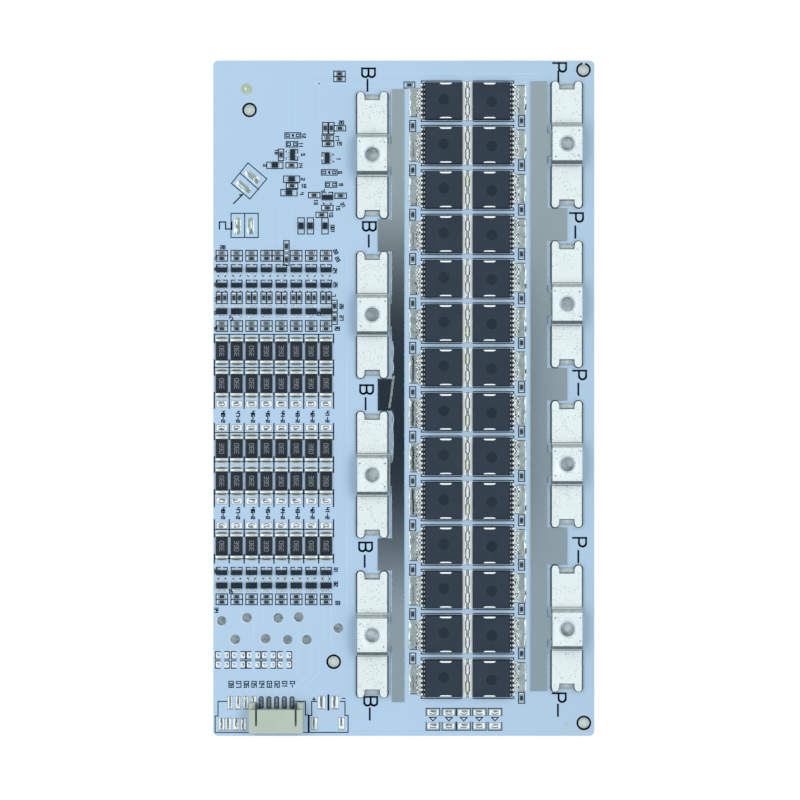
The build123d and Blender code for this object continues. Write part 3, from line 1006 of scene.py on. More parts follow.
@dataclass
class BridgeTerminal:
    """A folded tinned strip: two feet with forked ends, and a raised middle with a threaded hole.

    The lengths are in millimetres. bridge is the length over the risers' outer faces, notch the
    notch's depth, mouth and root its widths at its open and inner end, taper how far the long
    sides lean in, bore and countersink the hole's radii, pitch the thread's and ridge its depth.
    """

    finishes: Finishes
    thickness: float = 1.5
    bridge: float = 10.2
    prong: float = 2.0
    notch: float = 2.1
    mouth: float = 4.1
    root: float = 3.8
    outer_bend: float = 0.8
    foot_bend: float = 0.4
    taper: float = 0.14
    countersink: float = 2.15
    bore: float = 1.8
    pitch: float = 0.7
    ridge: float = 0.09

    def arc(self, centre: tuple[float, float], radius: float, start: float, end: float,
            steps: int = 4) -> np.ndarray:
        """Points round part of a circle.

        Args:
            centre: The circle's middle.
            radius: Its radius.
            start: The first point's angle in degrees.
            end: The last point's angle.
            steps: Steps between them.

        Returns:
            Rows of two coordinates.
        """
        angle = np.radians(np.linspace(start, end, steps + 1))
        return np.stack([centre[0] + radius * np.cos(angle), centre[1] + radius * np.sin(angle)], -1)

    def profile(self, height: float) -> tuple[np.ndarray, np.ndarray]:
        """The strip's upper and lower line from the foot's flat to the flat of the middle.

        Args:
            height: The terminal's full height.

        Returns:
            Two arrays of distance from the middle and height, point for point beside each other.
        """
        wall, t = self.bridge / 2, self.thickness
        upper = np.vstack([
            self.arc((wall + self.foot_bend, t + self.foot_bend), self.foot_bend, 270, 180),
            self.arc((wall - self.outer_bend, height - self.outer_bend), self.outer_bend, 0, 90),
        ])
        lower = np.vstack([
            self.arc((wall - t + 0.9, 0.9), 0.9, 270, 180),
            self.arc((wall - t - 0.25, height - t - 0.25), 0.25, 0, 90),
        ])
        return upper, lower

    def pattern(self, width: float, length: float, height: float) -> Form:
        """The folded sheet as a closed form, centred on the middle of its underside.

        Rows run along the strip and columns across it. Each row has its distance and height on
        the strip's upper and lower line, and each column its place across, which narrows round
        the forks. The middle's rows meet the hole through a band that blends from the square
        to the circle.

        Args:
            width: The terminal's width.
            length: Its full length.
            height: Its full height.

        Returns:
            The closed form.
        """
        half, end, t = width / 2, length / 2, self.thickness
        radius = self.prong / 2 + 0.02
        swing = np.radians(np.array([18.0, 40.0, 62.0, 90.0]))
        depth = np.concatenate([radius * (1 - np.cos(swing)), [self.notch]])
        reach = np.concatenate([radius * np.sin(swing), [radius]])
        inner = np.interp(depth, [0, self.notch], [self.mouth / 2, self.root / 2])
        middle = (half + inner) / 2
        share = np.linspace(0.0, 1.0, 4)
        narrow = np.minimum(reach, (half - inner) / 2)
        fork = (middle - narrow)[:, None] + 2 * narrow[:, None] * share[None]
        fork_y = end - depth
        columns = np.concatenate([-fork[-1][::-1], np.linspace(-self.root / 2, self.root / 2, 6)[1:-1],
                                  fork[-1]])
        upper, lower = self.profile(height)
        foot = np.linspace(end - self.notch, upper[0, 0] + 0.4, 7)
        rows_up = np.vstack([np.stack([foot, np.full(7, t)], -1), upper])
        rows_low = np.vstack([np.stack([foot, np.zeros(7)], -1), lower])
        line_up = np.stack([fork_y, np.full(len(fork_y), t)], -1)
        line_low = np.stack([fork_y, np.zeros(len(fork_y))], -1)
        patches = [self.sheet(side * fork, line_up, line_low, side > 0) for side in (1, -1)]
        body = np.repeat(columns[None], len(rows_up), 0)
        patches.append(self.sheet(body, rows_up, rows_low, True))
        return self.closed(patches, columns, rows_up[-1, 0], rows_low[-1, 0], height)

    def sheet(self, across: np.ndarray, up: np.ndarray, low: np.ndarray,
              forward: bool) -> tuple[np.ndarray, np.ndarray, np.ndarray]:
        """One patch of the sheet.

        Args:
            across: Each point's place across, rows by columns.
            up: Each row's distance and height on the upper line.
            low: The same on the lower line.
            forward: Whether the columns run towards +X.

        Returns:
            The upper points, the lower points and the faces.
        """
        rows, columns = across.shape
        top, under = (np.dstack([across, np.repeat(line[:, None], columns, 1)]).reshape(-1, 3)
                      for line in (up, low))
        quads = grid_faces(rows, columns)
        return top, under, quads if forward else quads[:, ::-1]

    def closed(self, patches: list[tuple[np.ndarray, np.ndarray, np.ndarray]], columns: np.ndarray,
               edge_up: float, edge_low: float, height: float) -> Form:
        """Joins the patches, their half turn, the band round the hole and the walls.

        A wall hangs from each edge that only one face has, apart from the hole's, in the dark cut edge
        finish, which is partly painted shade on the sheet's sides. The faces over the outer bends get painted
        light and shade: lighter on the bend towards +Y, darker on the bend towards -Y. The long sides lean in
        by the taper.

        Args:
            patches: The patches towards +Y.
            columns: The body's places across.
            edge_up: Where the flat of the middle ends above.
            edge_low: Where it ends below.
            height: The terminal's full height.

        Returns:
            The closed form.
        """
        half_turn = np.array([-1.0, -1.0, 1.0])
        patches = [(top * flip, under * flip, quads) for top, under, quads in patches
                   for flip in (np.ones(3), half_turn)]
        patches.append(self.hole_band(columns, edge_up, edge_low, height))
        starts = np.cumsum([0] + [len(patch[0]) for patch in patches])
        top, under = (np.vstack([patch[side] for patch in patches]) for side in (0, 1))
        quads = np.vstack([patch[2] + start for patch, start in zip(patches, starts)])
        keys = np.round(top * 2000).astype(np.int64)
        _, first, number = np.unique(keys, axis=0, return_index=True, return_inverse=True)
        top, under, quads = top[first], under[first], number.reshape(-1)[quads]
        edges = np.stack([quads, np.roll(quads, -1, 1)], -1).reshape(-1, 2)
        forth = edges[:, 0] * len(top) + edges[:, 1]
        back = edges[:, 1] * len(top) + edges[:, 0]
        rim = edges[~np.isin(forth, back)]
        at_hole = (np.hypot(top[rim, 0], top[rim, 1]) < self.countersink + 0.01).all(1)
        outer = rim[~at_hole]
        walls = np.stack([outer[:, 0], outer[:, 0] + len(top), outer[:, 1] + len(top), outer[:, 1]], -1)
        middles = top[quads].mean(1)
        bend = np.abs(middles[:, 1]) > self.bridge / 2 - self.outer_bend
        bend &= middles[:, 2] > self.thickness + 0.5
        far, near = bend & (middles[:, 1] > 0), bend & (middles[:, 1] < 0)
        half = columns[-1]
        outer_share = np.clip((np.abs(top[:, 0]) - half + 0.6) / 0.6, 0.0, 1.0)
        top = top - np.sign(top[:, :1]) * outer_share[:, None] * np.array([[self.taper, 0.0, 0.0]])
        # The walls wear the cut edge finish, partly painted shade on the sheet's sides; the bend towards +Y
        # wears painted light and the bend towards -Y painted shade.
        groups = (quads[~bend], quads[far], quads[near], quads[:, ::-1] + len(top), walls)
        sheet = Form(np.vstack([top, under]), groups, (0, 2, 3, 0, 1))
        return merged(joined([sheet, self.thread(columns, height)]), 5e-4)

    def ring_angles(self, columns: np.ndarray, edge: float) -> np.ndarray:
        """The angle from the middle of each point round the platform's edge, anticlockwise."""
        return np.arctan2(*self.platform_edge(columns, edge).T[::-1])

    def platform_edge(self, columns: np.ndarray, edge: float) -> np.ndarray:
        """The points round the flat of the middle.

        Args:
            columns: The places across.
            edge: How far the flat reaches along Y.

        Returns:
            Rows of x and y, anticlockwise from the lower left corner.
        """
        side = np.linspace(-edge, edge, 9)
        return np.vstack([
            np.stack([columns, np.full(len(columns), -edge)], -1)[:-1],
            np.stack([np.full(9, columns[-1]), side], -1)[:-1],
            np.stack([columns[::-1], np.full(len(columns), edge)], -1)[:-1],
            np.stack([np.full(9, columns[0]), side[::-1]], -1)[:-1],
        ])

    def hole_band(self, columns: np.ndarray, edge_up: float, edge_low: float,
                  height: float) -> tuple[np.ndarray, np.ndarray, np.ndarray]:
        """The band between the flat's rim and the hole, above and below.

        Args:
            columns: The places across.
            edge_up: How far the flat reaches along Y above.
            edge_low: How far it reaches below.
            height: The terminal's full height.

        Returns:
            The upper points, the lower points and the faces.
        """
        rim_up, rim_low = self.platform_edge(columns, edge_up), self.platform_edge(columns, edge_low)
        angle = self.ring_angles(columns, edge_up)
        circle = np.stack([np.cos(angle), np.sin(angle)], -1)
        top = np.vstack([rim_up, circle * self.countersink])
        under = np.vstack([rim_low, circle * self.bore])
        top = np.column_stack([top, np.full(len(top), height)])
        under = np.column_stack([under, np.full(len(under), height - self.thickness)])
        count = len(rim_up)
        here = np.arange(count)
        after = np.roll(here, -1)
        return top, under, np.stack([here, after, after + count, here + count], -1)

    def thread(self, columns: np.ndarray, height: float) -> Form:
        """The hole's wall: a countersink, then a radius that swings once for each turn of the thread.

        The radius at an angle and a depth is the bore's mean radius plus a wave of the depth
        divided by the pitch, less the angle as a share of a turn.

        Args:
            columns: The places across of the points round the flat.
            height: The terminal's full height.

        Returns:
            The wall as an open form: its top band in the grey bend finish and the bore below the second band
                in the darker pooled solder finish, both painted shade inside the hole.
        """
        angle = self.ring_angles(columns, self.bridge / 2 - self.outer_bend)
        depth = np.concatenate([[0.0, 0.06, 0.14], np.linspace(0.3, self.thickness, 16)])
        wave = self.ridge * np.cos(2 * math.pi * (depth[:, None] / self.pitch - angle[None] / (2 * math.pi)))
        fade = np.interp(depth, [0.34, 0.5, self.thickness - 0.12, self.thickness], [0, 1, 1, 0])
        radius = self.bore - 0.04 * fade[:, None] + wave * fade[:, None]
        radius[0] = self.countersink
        radius[1] = self.countersink - 0.12
        radius[2] = self.bore + 0.02
        rings = np.stack([radius * np.cos(angle), radius * np.sin(angle),
                          np.repeat(height - depth[:, None], len(angle), 1)], -1)
        around = len(angle)
        quads = ring_faces(np.arange(radius.size).reshape(radius.shape))
        bands = np.split(quads, [around, 2 * around])
        # The countersink's top band and the threaded bore wear darker finishes: painted shade inside the
        # hole.
        return Form(rings.reshape(-1, 3), tuple(bands), (2, 0, 4))

    def foot_line(self, width: float, length: float) -> np.ndarray:
        """The outline of the foot towards +Y, from its lower right corner round the forks.

        Each prong ends in a half circle, and the notch's sides lean in towards its root.

        Args:
            width: The terminal's width.
            length: Its full length.

        Returns:
            Rows of x and y.
        """
        half, end = width / 2, length / 2
        mouth, root = self.mouth / 2, self.root / 2
        middle, radius = (half + mouth) / 2, (half - mouth) / 2
        swing = np.linspace(0.0, math.pi, 9)
        tip = np.stack([middle + radius * np.cos(swing), end - radius + radius * np.sin(swing)], -1)
        right = np.vstack([[[half, self.bridge / 2 + 0.7]], tip, [[root, end - self.notch]]])
        return np.vstack([right, right[::-1] * np.array([-1.0, 1.0])])

    def skirt(self, width: float, length: float) -> Form:
        """The dark seam round both feet, solder whose dark tone is partly painted shade at the feet's edges,
        the pool of solder in each notch, and a dark line of painted shade in each foot's crease.

        The pool's outer line bows out by a parabola across the notch, and its height falls with
        the fourth power of the way out.

        Args:
            width: The terminal's width.
            length: Its full length.

        Returns:
            The solder of both feet.
        """
        line = self.foot_line(width, length)
        # The seam round the feet is solder whose dark tone is partly painted shade at the feet's edges.
        seam = bars(chain(line), 0.38, 0.0, 0.16, finish=3)
        root = self.root / 2
        inner = length / 2 - self.notch
        rows = np.linspace(-root - 0.05, root + 0.05, 16)[:, None]
        share = np.linspace(0.0, 1.0, 12)[None]
        bow = 0.3 * (1 - (rows / root) ** 2)
        x = rows + 0 * share
        y = inner - 0.1 + share * (1.45 + bow)
        rough = smooth_noise((16, 12), (5, 4), 31)
        z = 0.4 * (1 - share ** 4) * (0.9 + 0.1 * rough) + 0.05
        pool = quilt(x, y, z, 0.0, finish=2)
        lip = bars([[-root, inner + 0.06, root, inner + 0.06]], 0.24, 0.4, 0.25, finish=1)
        # Painted shade: a dark line across each foot where its bend ends, in the dark seam finish.
        fold = self.bridge / 2 + self.foot_bend + 0.06
        crease = bars([[-width / 2 + 0.2, fold, width / 2 - 0.2, fold]], 0.16, self.thickness, 0.02, finish=1)
        return joined([seam, pool, lip, crease]).repeated(np.array([[0, 0, 0, 0], [0, 0, 0, 180.0]]))

    def under_hole(self) -> Form:
        """The tin that shows at the bottom of the hole, its grey clouds painted shade inside the hole."""
        return block(4.6, 4.6, 1.9, corner=2.29, edge=0.1, steps=6, finish=4)

    def pits(self, height: float, seed: int) -> Form:
        """Dark pits near three corners of the raised middle, their places shifted by seeded shares.

        Args:
            height: The terminal's full height.
            seed: The seed.

        Returns:
            The pits.
        """
        chance = np.random.default_rng(seed)
        signs = np.array([[-1, -1], [1, -1], [1, 1], [-1, 1]])[chance.permutation(4)[:3]]
        spots = np.zeros((3, 4))
        spots[:, :2] = signs * np.array([3.15, 3.2]) + chance.uniform(-0.3, 0.3, (3, 2))
        spots[:, 2] = height - 0.005
        spots[:, 3] = chance.uniform(-60, 60, 3)
        return pillow(0.46, 0.3, 0.02, corner=0.14, steps=2, finish=1).repeated(spots)

    def build(self) -> None:
        """Builds the eight terminals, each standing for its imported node, and their solder."""
        seams = []
        dress = [self.finishes.terminal, self.finishes.cut_edge_and_shade, self.finishes.bend_lit,
                 self.finishes.bend_dark, self.finishes.pool]
        for column in ("battery", "output"):
            for number in range(1, 5):
                node = f"{column}_terminal_{number}"
                box = node_box(node)
                centre, size = middle_and_size(box)
                place = (centre[0], centre[1], box[0, 2])
                Piece(f"{column}_bridge_{number}", dress, "tinned_terminal", [node],
                      bevel=0.06, bevel_angle=55.0).from_form(self.pattern(*size).moved(*place))
                solder = joined([self.skirt(size[0], size[1]), self.under_hole(),
                                 self.pits(size[2], number + len(column))])
                seams.append(solder.moved(*place))
        finishes = [self.finishes.terminal, self.finishes.seam, self.finishes.pool, self.finishes.cut_edge_and_shade,
                    self.finishes.hole_floor]
        Piece("terminal_solder", finishes, "tinned_terminal").from_form(joined(seams))


@dataclass
class ConductorStrips:
    """The two bright tinned strips beside the terminals.

    base and top are the heights of their two faces. seam_place and lap_place are where the seam
    and the lap lie across the board, lap_lengths has the middle and half length of each wide part
    of the seam, and scrape_line the two ends of a scrape, in millimetres from the board's middle.
    """

    finishes: Finishes
    edge: float = 0.08
    base: float = 2.0
    top: float = 2.4
    lap_half: float = 4.2
    lap_width: float = 0.42
    seam_place: float = -3.32
    lap_place: float = -3.72
    lap_lengths: Pairs = ((-10.2, 6.9), (10.5, 4.6))
    scrape_line: tuple[tuple[float, float], tuple[float, float]] = ((-2.55, 5.8), (-3.75, -2.6))

    def build(self) -> None:
        """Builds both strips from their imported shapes, with rounded edges."""
        for side in ("battery", "output"):
            Piece(f"{side}_strip_sheet", [self.finishes.strip], "tinned_strip", [f"{side}_strip"],
                  bevel=self.edge).from_node(f"{side}_strip")
        finishes = [self.finishes.strip, self.finishes.pool, self.finishes.dull_solder,
                    self.finishes.lap_coat]
        Piece("strip_edge_solder", finishes, "tinned_strip").from_form(
            joined([self.edge_solder(), self.lap(), self.scrape()]))

    def edge_solder(self) -> Form:
        """The uneven seam along the battery strip, wandering by seeded noise.

        It laps further over the strip in two lengths, each a bell of the eighth power.
        """
        low, high = node_box("battery_strip")
        steps = 240
        y = np.linspace(low[1] + 1.8, high[1] - 0.2, steps)[None]
        share = np.linspace(0.0, 1.0, 6)[:, None]
        noise = smooth_noise((2, steps), (1, 110), 5)[:1]
        rough = 0.04 + 0.14 * np.exp(-((y + 5.0) / 30.0) ** 2)
        bells = sum(np.exp(-((y - middle) / reach) ** 8) for middle, reach in self.lap_lengths)
        ragged = smooth_noise((2, steps), (1, 150), 6)[:1]
        right = self.seam_place + 0.2 + bells * (0.42 + 0.16 * ragged)
        left = self.seam_place - 0.14 - rough * noise
        x = left + share * (right - left)
        z = 0.37 * np.sin(math.pi * (0.1 + 0.4 * share)) ** 0.5 + bells * 0.06
        return quilt(x, y + 0 * share, self.base + z, self.base, 3)

    def scrape(self) -> Form:
        """The pale slanting scrape on the battery strip, its two sides wandering by seeded noise."""
        steps = 40
        along = np.linspace(0.0, 1.0, steps)[None]
        share = np.linspace(-0.5, 0.5, 4)[:, None]
        start, end = np.array(self.scrape_line)
        noise = smooth_noise((4, steps), (3, 16), 8)
        x = start[0] + along * (end[0] - start[0]) + share * (0.62 + 0.2 * noise)
        y = start[1] + along * (end[1] - start[1]) + 0 * share
        return quilt(x[:, ::-1], y[:, ::-1], self.top + 0.015 + 0 * x, self.top, 2)

    def lap(self) -> Form:
        """The solder that laps between the battery terminals and their strip."""
        runs = []
        for number in range(1, 5):
            middle = middle_and_size(node_box(f"battery_terminal_{number}"))[0][1]
            runs.append([self.lap_place, middle - self.lap_half, self.lap_place, middle + self.lap_half])
        return bars(runs, self.lap_width, self.base, self.lap_width, finish=1)


@dataclass
class PowerTransistors:
    """The mouldings of the two columns of power packages.

    Lengths are in millimetres. draft is how far the wall leans in for each millimetre, dimple the
    radius of the round mark in the top, dimple_place its middle, tie_length, tie_widths and
    tie_offset the size and place of the bare tie bars' ends, and ledge how far the moulding's foot
    stands out over the leads.
    """

    finishes: Finishes
    draft: float = 0.123
    dimple: float = 1.39
    dimple_place: tuple[float, float] = (-0.05, 0.3)
    dimple_depth: float = 0.02
    rounding: float = 0.07
    tie_length: float = 3.05
    tie_widths: tuple[float, float] = (0.42, 0.32)
    tie_offset: float = 0.48
    ledge: float = 0.55

    def body(self, depth: float, width: float, height: float) -> Form:
        """The moulding, its leads towards -X, centred on the middle of its underside.

        The rings follow the drafted wall and its rounded upper edge, and run over the top
        into the round ejector dimple.

        Args:
            depth: The size along X.
            width: The size along Y.
            height: The height.

        Returns:
            The closed form, the dimple in a finish of its own.
        """
        shape = outline(depth, width, 0.12, 3, 8)
        rise = np.linspace(0.0, math.pi / 2, 3)
        lean = self.draft * height
        insets = np.concatenate([[0.0], lean + self.rounding * (1 - np.cos(rise))])
        heights = np.concatenate([[0.0], height - self.rounding + self.rounding * np.sin(rise)])
        scale = 1 - insets[:, None] / np.array([[depth / 2, width / 2]])
        rings = np.empty((len(insets) + 4, len(shape), 3))
        rings[:-4, :, :2] = shape[None] * scale[:, None, :]
        rings[:-4, :, 2] = heights[:, None]
        angle = np.arctan2(shape[:, 1], shape[:, 0])
        circle = np.stack([np.cos(angle), np.sin(angle)], -1)
        radii = (self.dimple + 0.03, self.dimple, self.dimple - 0.03, self.dimple * 0.6)
        falls = (0.0, 0.004, self.dimple_depth, self.dimple_depth)
        for number, (radius, fall) in enumerate(zip(radii, falls)):
            rings[len(insets) + number, :, :2] = np.array(self.dimple_place) + radius * circle
            rings[len(insets) + number, :, 2] = height - fall
        whole = loft(rings)
        around = len(shape)
        outer, inner = np.split(whole.faces[0], [(len(rings) - 3) * around])
        under, crown = np.split(whole.faces[1], [around])
        return Form(whole.points, (outer, under, inner, crown), (0, 0, 1, 1))

    def tie_bar(self, height: float, width: float) -> Form:
        """The bare end of a tie bar, flat towards +Y and round towards -Y.

        Its round side is half an ellipse whose cosine and sine are raised to powers under one.

        Args:
            height: The package's height.
            width: How far the end reaches in from the edge.

        Returns:
            The closed form.
        """
        swing = np.linspace(math.pi, 2 * math.pi, 12)
        x = self.tie_length / 2 * np.sign(np.cos(swing)) * np.abs(np.cos(swing)) ** 0.45
        y = -width * np.abs(np.sin(swing)) ** 0.7
        shape = np.stack([x, y], -1)
        rings = np.empty((3, len(shape), 3))
        rings[:, :, :2] = shape[None]
        rings[2, :, :2] *= 0.94
        rings[:, :, 2] = np.array([-0.03, 0.012, 0.02])[:, None] + height
        return loft(rings, 2)

    def build(self) -> None:
        """Builds each package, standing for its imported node."""
        for side, turn in (("left", 0.0), ("right", 180.0)):
            for number in range(1, 15):
                node = f"power_transistor_{side}_{number:02d}"
                box = node_box(node)
                centre, size = middle_and_size(box)
                edge = size[1] / 2 - self.draft * size[2]
                upper, lower = self.tie_widths if side == "left" else self.tie_widths[::-1]
                low_edge = -edge - 0.02 + self.draft
                ties = [self.tie_bar(size[2], upper).moved(self.tie_offset, edge - 0.08),
                        self.tie_bar(size[2], lower).turned(180).moved(self.tie_offset, low_edge)]
                ledge = block(self.ledge, size[1] - 0.5, 0.46, corner=0.05, edge=0.04).moved(
                    -size[0] / 2 - self.ledge / 2 + 0.02)
                form = joined([self.body(*size), ledge, *ties]).turned(turn)
                finishes = [self.finishes.moulding, self.finishes.dimple, self.finishes.bright_tin]
                Piece(f"power_package_{side}_{number:02d}", finishes, "black_moulding", [node]).from_form(
                    form.moved(centre[0], centre[1], box[0, 2]))


@dataclass
class TransistorJoints:
    """The power packages' leads and cooling tabs, with the solder that holds them.

    Lengths are in millimetres in a package's own frame: its middle at the origin and its leads
    towards -X. half is half its depth, span its width, pitch the leads' spacing and first the
    first lead's place. toe is how far a lead's soldered tip lies from the package, and bead_near
    and bead_far are where the beads lie. The source pad runs from pad_near to pad_far away from
    the package and from pad_low to pad_high along Y. tab_reach and notch_reach are how far the
    tab stands out at its tongues and in its notches. streaked_rows are the packages whose pads
    mirror something dark, and variants is how many differently seeded pads there are.
    """

    finishes: Finishes
    half: float = 4.95
    span: float = 9.9
    pitch: float = 1.2
    first: float = 4.2
    lead_width: float = 0.7
    toe: float = 0.76
    streaked_rows: tuple[int, ...] = (6, 7, 8, 9)
    bead_near: float = 1.34
    bead_far: float = 1.98
    pad_near: float = 0.85
    pad_far: float = 4.05
    pad_low: float = -4.1
    pad_high: float = 3.45
    tab_reach: float = 0.92
    notch_reach: float = 0.62
    notch_middles: tuple[float, float] = (2.17, -2.24)
    notch_length: float = 2.85
    column_gap: float = 2.4
    variants: int = 5

    def lead_rows(self) -> np.ndarray:
        """Where the eight leads lie along Y, the single one first."""
        return self.first - self.pitch * np.arange(8)

    def leads(self) -> Form:
        """The flat leads: a light end in the package's ledge, a low bar, a round soldered toe, and a dark
        strip of painted shade on the board under the row, from the package out to the toes.
        """
        rows = self.lead_rows()
        spots = np.zeros((len(rows), 4))
        spots[:, 1] = rows
        mark = block(0.22, 0.46, 0.05, 0.45, corner=0.04, edge=0.02).moved(-self.half - 0.08)
        bar = block(self.toe, self.lead_width - 0.06, 0.2, corner=0.2, edge=0.08).moved(
            -self.half - self.toe / 2)
        toe = block(0.6, 0.62, 0.5, corner=0.28, edge=0.1, steps=3, finish=1).moved(-self.half - self.toe)
        # Painted shade: a dark strip on the board between the leads, from the package out to the toes.
        shadow = bars([[-self.half - 0.45, rows[-1] - 0.1, -self.half - 0.45, rows[0] + 0.1]], 0.9,
                      0.0, 0.02, finish=2)
        return joined([mark.repeated(spots), bar.repeated(spots), toe.repeated(spots), shadow])

    def lumps(self, seed: int) -> Form:
        """The beads of solder between the leads' toes and the flat of the pad.

        A bead runs to and fro between a near and a far line, once for each lead, and each of its corners is
        shifted by a seeded random share. A wider dark band under it is painted shade round the bead.

        Args:
            seed: The seed.

        Returns:
            The band of painted shade, the bead and its knots.
        """
        chance = np.random.default_rng(seed)
        rows = self.lead_rows()[1:]
        line = np.empty((2 * len(rows), 2))
        line[0::2] = np.column_stack([np.full(len(rows), self.bead_near), rows])
        line[1::2] = np.column_stack([np.full(len(rows), self.bead_far), rows - self.pitch / 2])
        line += chance.uniform(-0.15, 0.15, line.shape)
        line[:, 0] *= -1
        line[:, 0] -= self.half
        line = line[line[:, 1] > self.pad_low - 0.15]
        spots = np.zeros((len(line), 4))
        spots[:, :2] = line
        spots[:, 3] = chance.uniform(-50, 50, len(line))
        kept = chance.uniform(size=len(line)) < 0.7
        knot = block(0.52, 0.4, 0.38, corner=0.19, edge=0.08, finish=3)
        # Painted shade: the wider dark band round the bead.
        seam = bars(chain(line), 0.5, 0.0, 0.24, finish=2)
        bead = bars(chain(line), 0.24, 0.0, 0.34, finish=3)
        return joined([seam, bead, knot.repeated(spots[kept])])

    def pad(self, seed: int) -> Form:
        """The source pad: a slab of set solder, smooth outside and wrinkled towards the leads.

        Its height is a base plus smooth noise that grows towards the leads, and its outer edge
        swells into a ridge that comes and goes along the pad.

        Args:
            seed: The seed.

        Returns:
            The slab.
        """
        rows, columns = 22, 44
        u = np.linspace(0.0, 1.0, rows)[:, None]
        v = np.linspace(0.0, 1.0, columns)[None]
        rough = smooth_noise((rows, columns), (9, 20), seed)
        slow = smooth_noise((rows, columns), (3, 6), seed + 50)
        wander = smooth_noise((rows, columns), (2, 9), seed + 90) * 0.1
        x = -self.half - self.pad_far + (self.pad_far - self.pad_near) * u + wander * (1 - u) ** 6
        y = self.pad_low + (self.pad_high - self.pad_low) * v + 0 * u
        near = np.clip((u - 0.55) / 0.3, 0, 1)
        ridge = np.exp(-((u - 0.035) / 0.04) ** 2) * (0.03 + 0.04 * slow)
        z = 0.09 + 0.03 * slow + 0.09 * near * (rough + 0.6) + ridge
        z *= np.clip(np.minimum(u, 1 - u) / 0.03, 0.25, 1) * np.clip(np.minimum(v, 1 - v) / 0.02, 0.25, 1)
        return quilt(x, y, z, 0.0, finish=4)

    def highlights_and_dark_end(self, seed: int, strong: bool) -> Form:
        """Painted highlights: bright bars along the pad's outer edge, where its solder slopes away, longer on
        the output side, and the pad's dark end.

        Args:
            seed: The seed of the highlights' ends.
            strong: Whether the pad is on the output side, with fewer, longer highlights.

        Returns:
            The painted highlights and the dark lines.
        """
        chance = np.random.default_rng(seed + 300)
        count = 2 if strong else 4
        edge = -self.half - self.pad_far + 0.02
        ends = np.sort(chance.uniform(self.pad_low + 0.3, self.pad_high - 0.3, 2 * count)).reshape(-1, 2)
        if strong:
            ends[:, 1] = np.minimum(ends[:, 1] + 1.2, self.pad_high - 0.1)
        runs = np.column_stack([np.full(count, edge), ends[:, 0], np.full(count, edge) + 0.1, ends[:, 1]])
        # Painted highlights: bars of the white beaded solder finish along the pad's outer edge.
        bright = bars(runs, 0.36 if strong else 0.26, 0.08, 0.14, finish=3)
        end = self.pad_low + 0.02
        slit = [[edge + 0.3, end, -self.half - self.pad_near - 1.2, end]]
        if not strong and seed % 2:
            slit.append([edge + 1.1, -2.9, edge + 1.0, 0.4 + 0.5 * (seed % 3)])
        return joined([bright, bars(slit, 0.16, 0.06, 0.1, finish=2)])

    def dark_streak(self, seed: int) -> Form:
        """The dark streak that the middle rows' pads mirror, along Y, wandering by a seeded share.

        Args:
            seed: The seed.

        Returns:
            The streak.
        """
        chance = np.random.default_rng(seed + 500)
        along = np.linspace(self.pad_low + 0.7, self.pad_high - 0.5 - 0.3 * (seed % 3), 9)
        across = -self.half - self.pad_far + 1.05 + chance.uniform(-0.12, 0.12, len(along))
        runs = chain(np.column_stack([across, along]))
        return bars(runs, 0.4, 0.05, 0.12, finish=2)

    def tab_line(self) -> np.ndarray:
        """The tab's outer edge as rows of reach and place along Y, from low to high."""
        half, slope = self.notch_length / 2, 0.26
        rows = [[self.tab_reach, -self.span / 2]]
        for middle in sorted(self.notch_middles):
            rows += [[self.tab_reach, middle - half], [self.notch_reach, middle - half + slope],
                     [self.notch_reach, middle + half - slope], [self.tab_reach, middle + half]]
        rows.append([self.tab_reach, self.span / 2])
        return np.array(rows)

    def tab(self, seed: int) -> Form:
        """The notched tab, its outer edge rounded over, and the broken dark line that runs round it.

        The dark line follows the edge and wanders by a seeded share, with some lengths left out.

        Args:
            seed: The seed.

        Returns:
            The tab and its line.
        """
        chance = np.random.default_rng(seed + 900)
        line = self.tab_line()
        share = np.array([0.0, 0.5, 0.86, 0.95, 1.0])[:, None]
        x = self.half - 0.06 + share * (line[None, :, 0] + 0.06)
        y = np.repeat(line[None, :, 1], len(share), 0)
        z = np.repeat(np.array([0.5, 0.5, 0.5, 0.47, 0.38])[:, None], len(line), 1)
        along = np.linspace(-self.span / 2, self.span / 2, 34)
        reach = np.interp(along, line[:, 1], line[:, 0]) + chance.uniform(-0.05, 0.07, len(along))
        runs = chain(np.column_stack([self.half + reach + 0.05, along]))
        runs = runs[chance.uniform(size=len(runs)) < 0.88]
        return joined([quilt(x, y, z, 0.0, finish=0), bars(runs, 0.24, 0.14, 0.12, finish=2)])

    def joint_between(self, seed: int) -> Form:
        """The solder that fills the gap between two tabs, with a bright spindle in each notch.

        Args:
            seed: The seed.

        Returns:
            The solder.
        """
        chance = np.random.default_rng(seed + 700)
        rows, columns = 9, 60
        u = np.linspace(-1.0, 1.0, rows)[:, None]
        v = np.linspace(-1.0, 1.0, columns)[None]
        x = u * (self.column_gap / 2 - 0.5) + 0 * v
        y = v * self.span / 2 + 0 * u
        rough = smooth_noise((rows, columns), (3, 22), seed + 20)
        z = 0.14 + 0.05 * rough - 0.05 * np.abs(u)
        forms = [quilt(x, y, z, 0.0, finish=3)]
        for middle in self.notch_middles:
            spindle = pillow(0.72, self.notch_length - 0.1, 0.34, 0.05, corner=0.34, steps=3,
                             finish=5 if chance.uniform() < 0.2 else 1)
            forms.append(spindle.moved(chance.uniform(-0.05, 0.05), middle + chance.uniform(-0.05, 0.05)))
        return joined(forms)

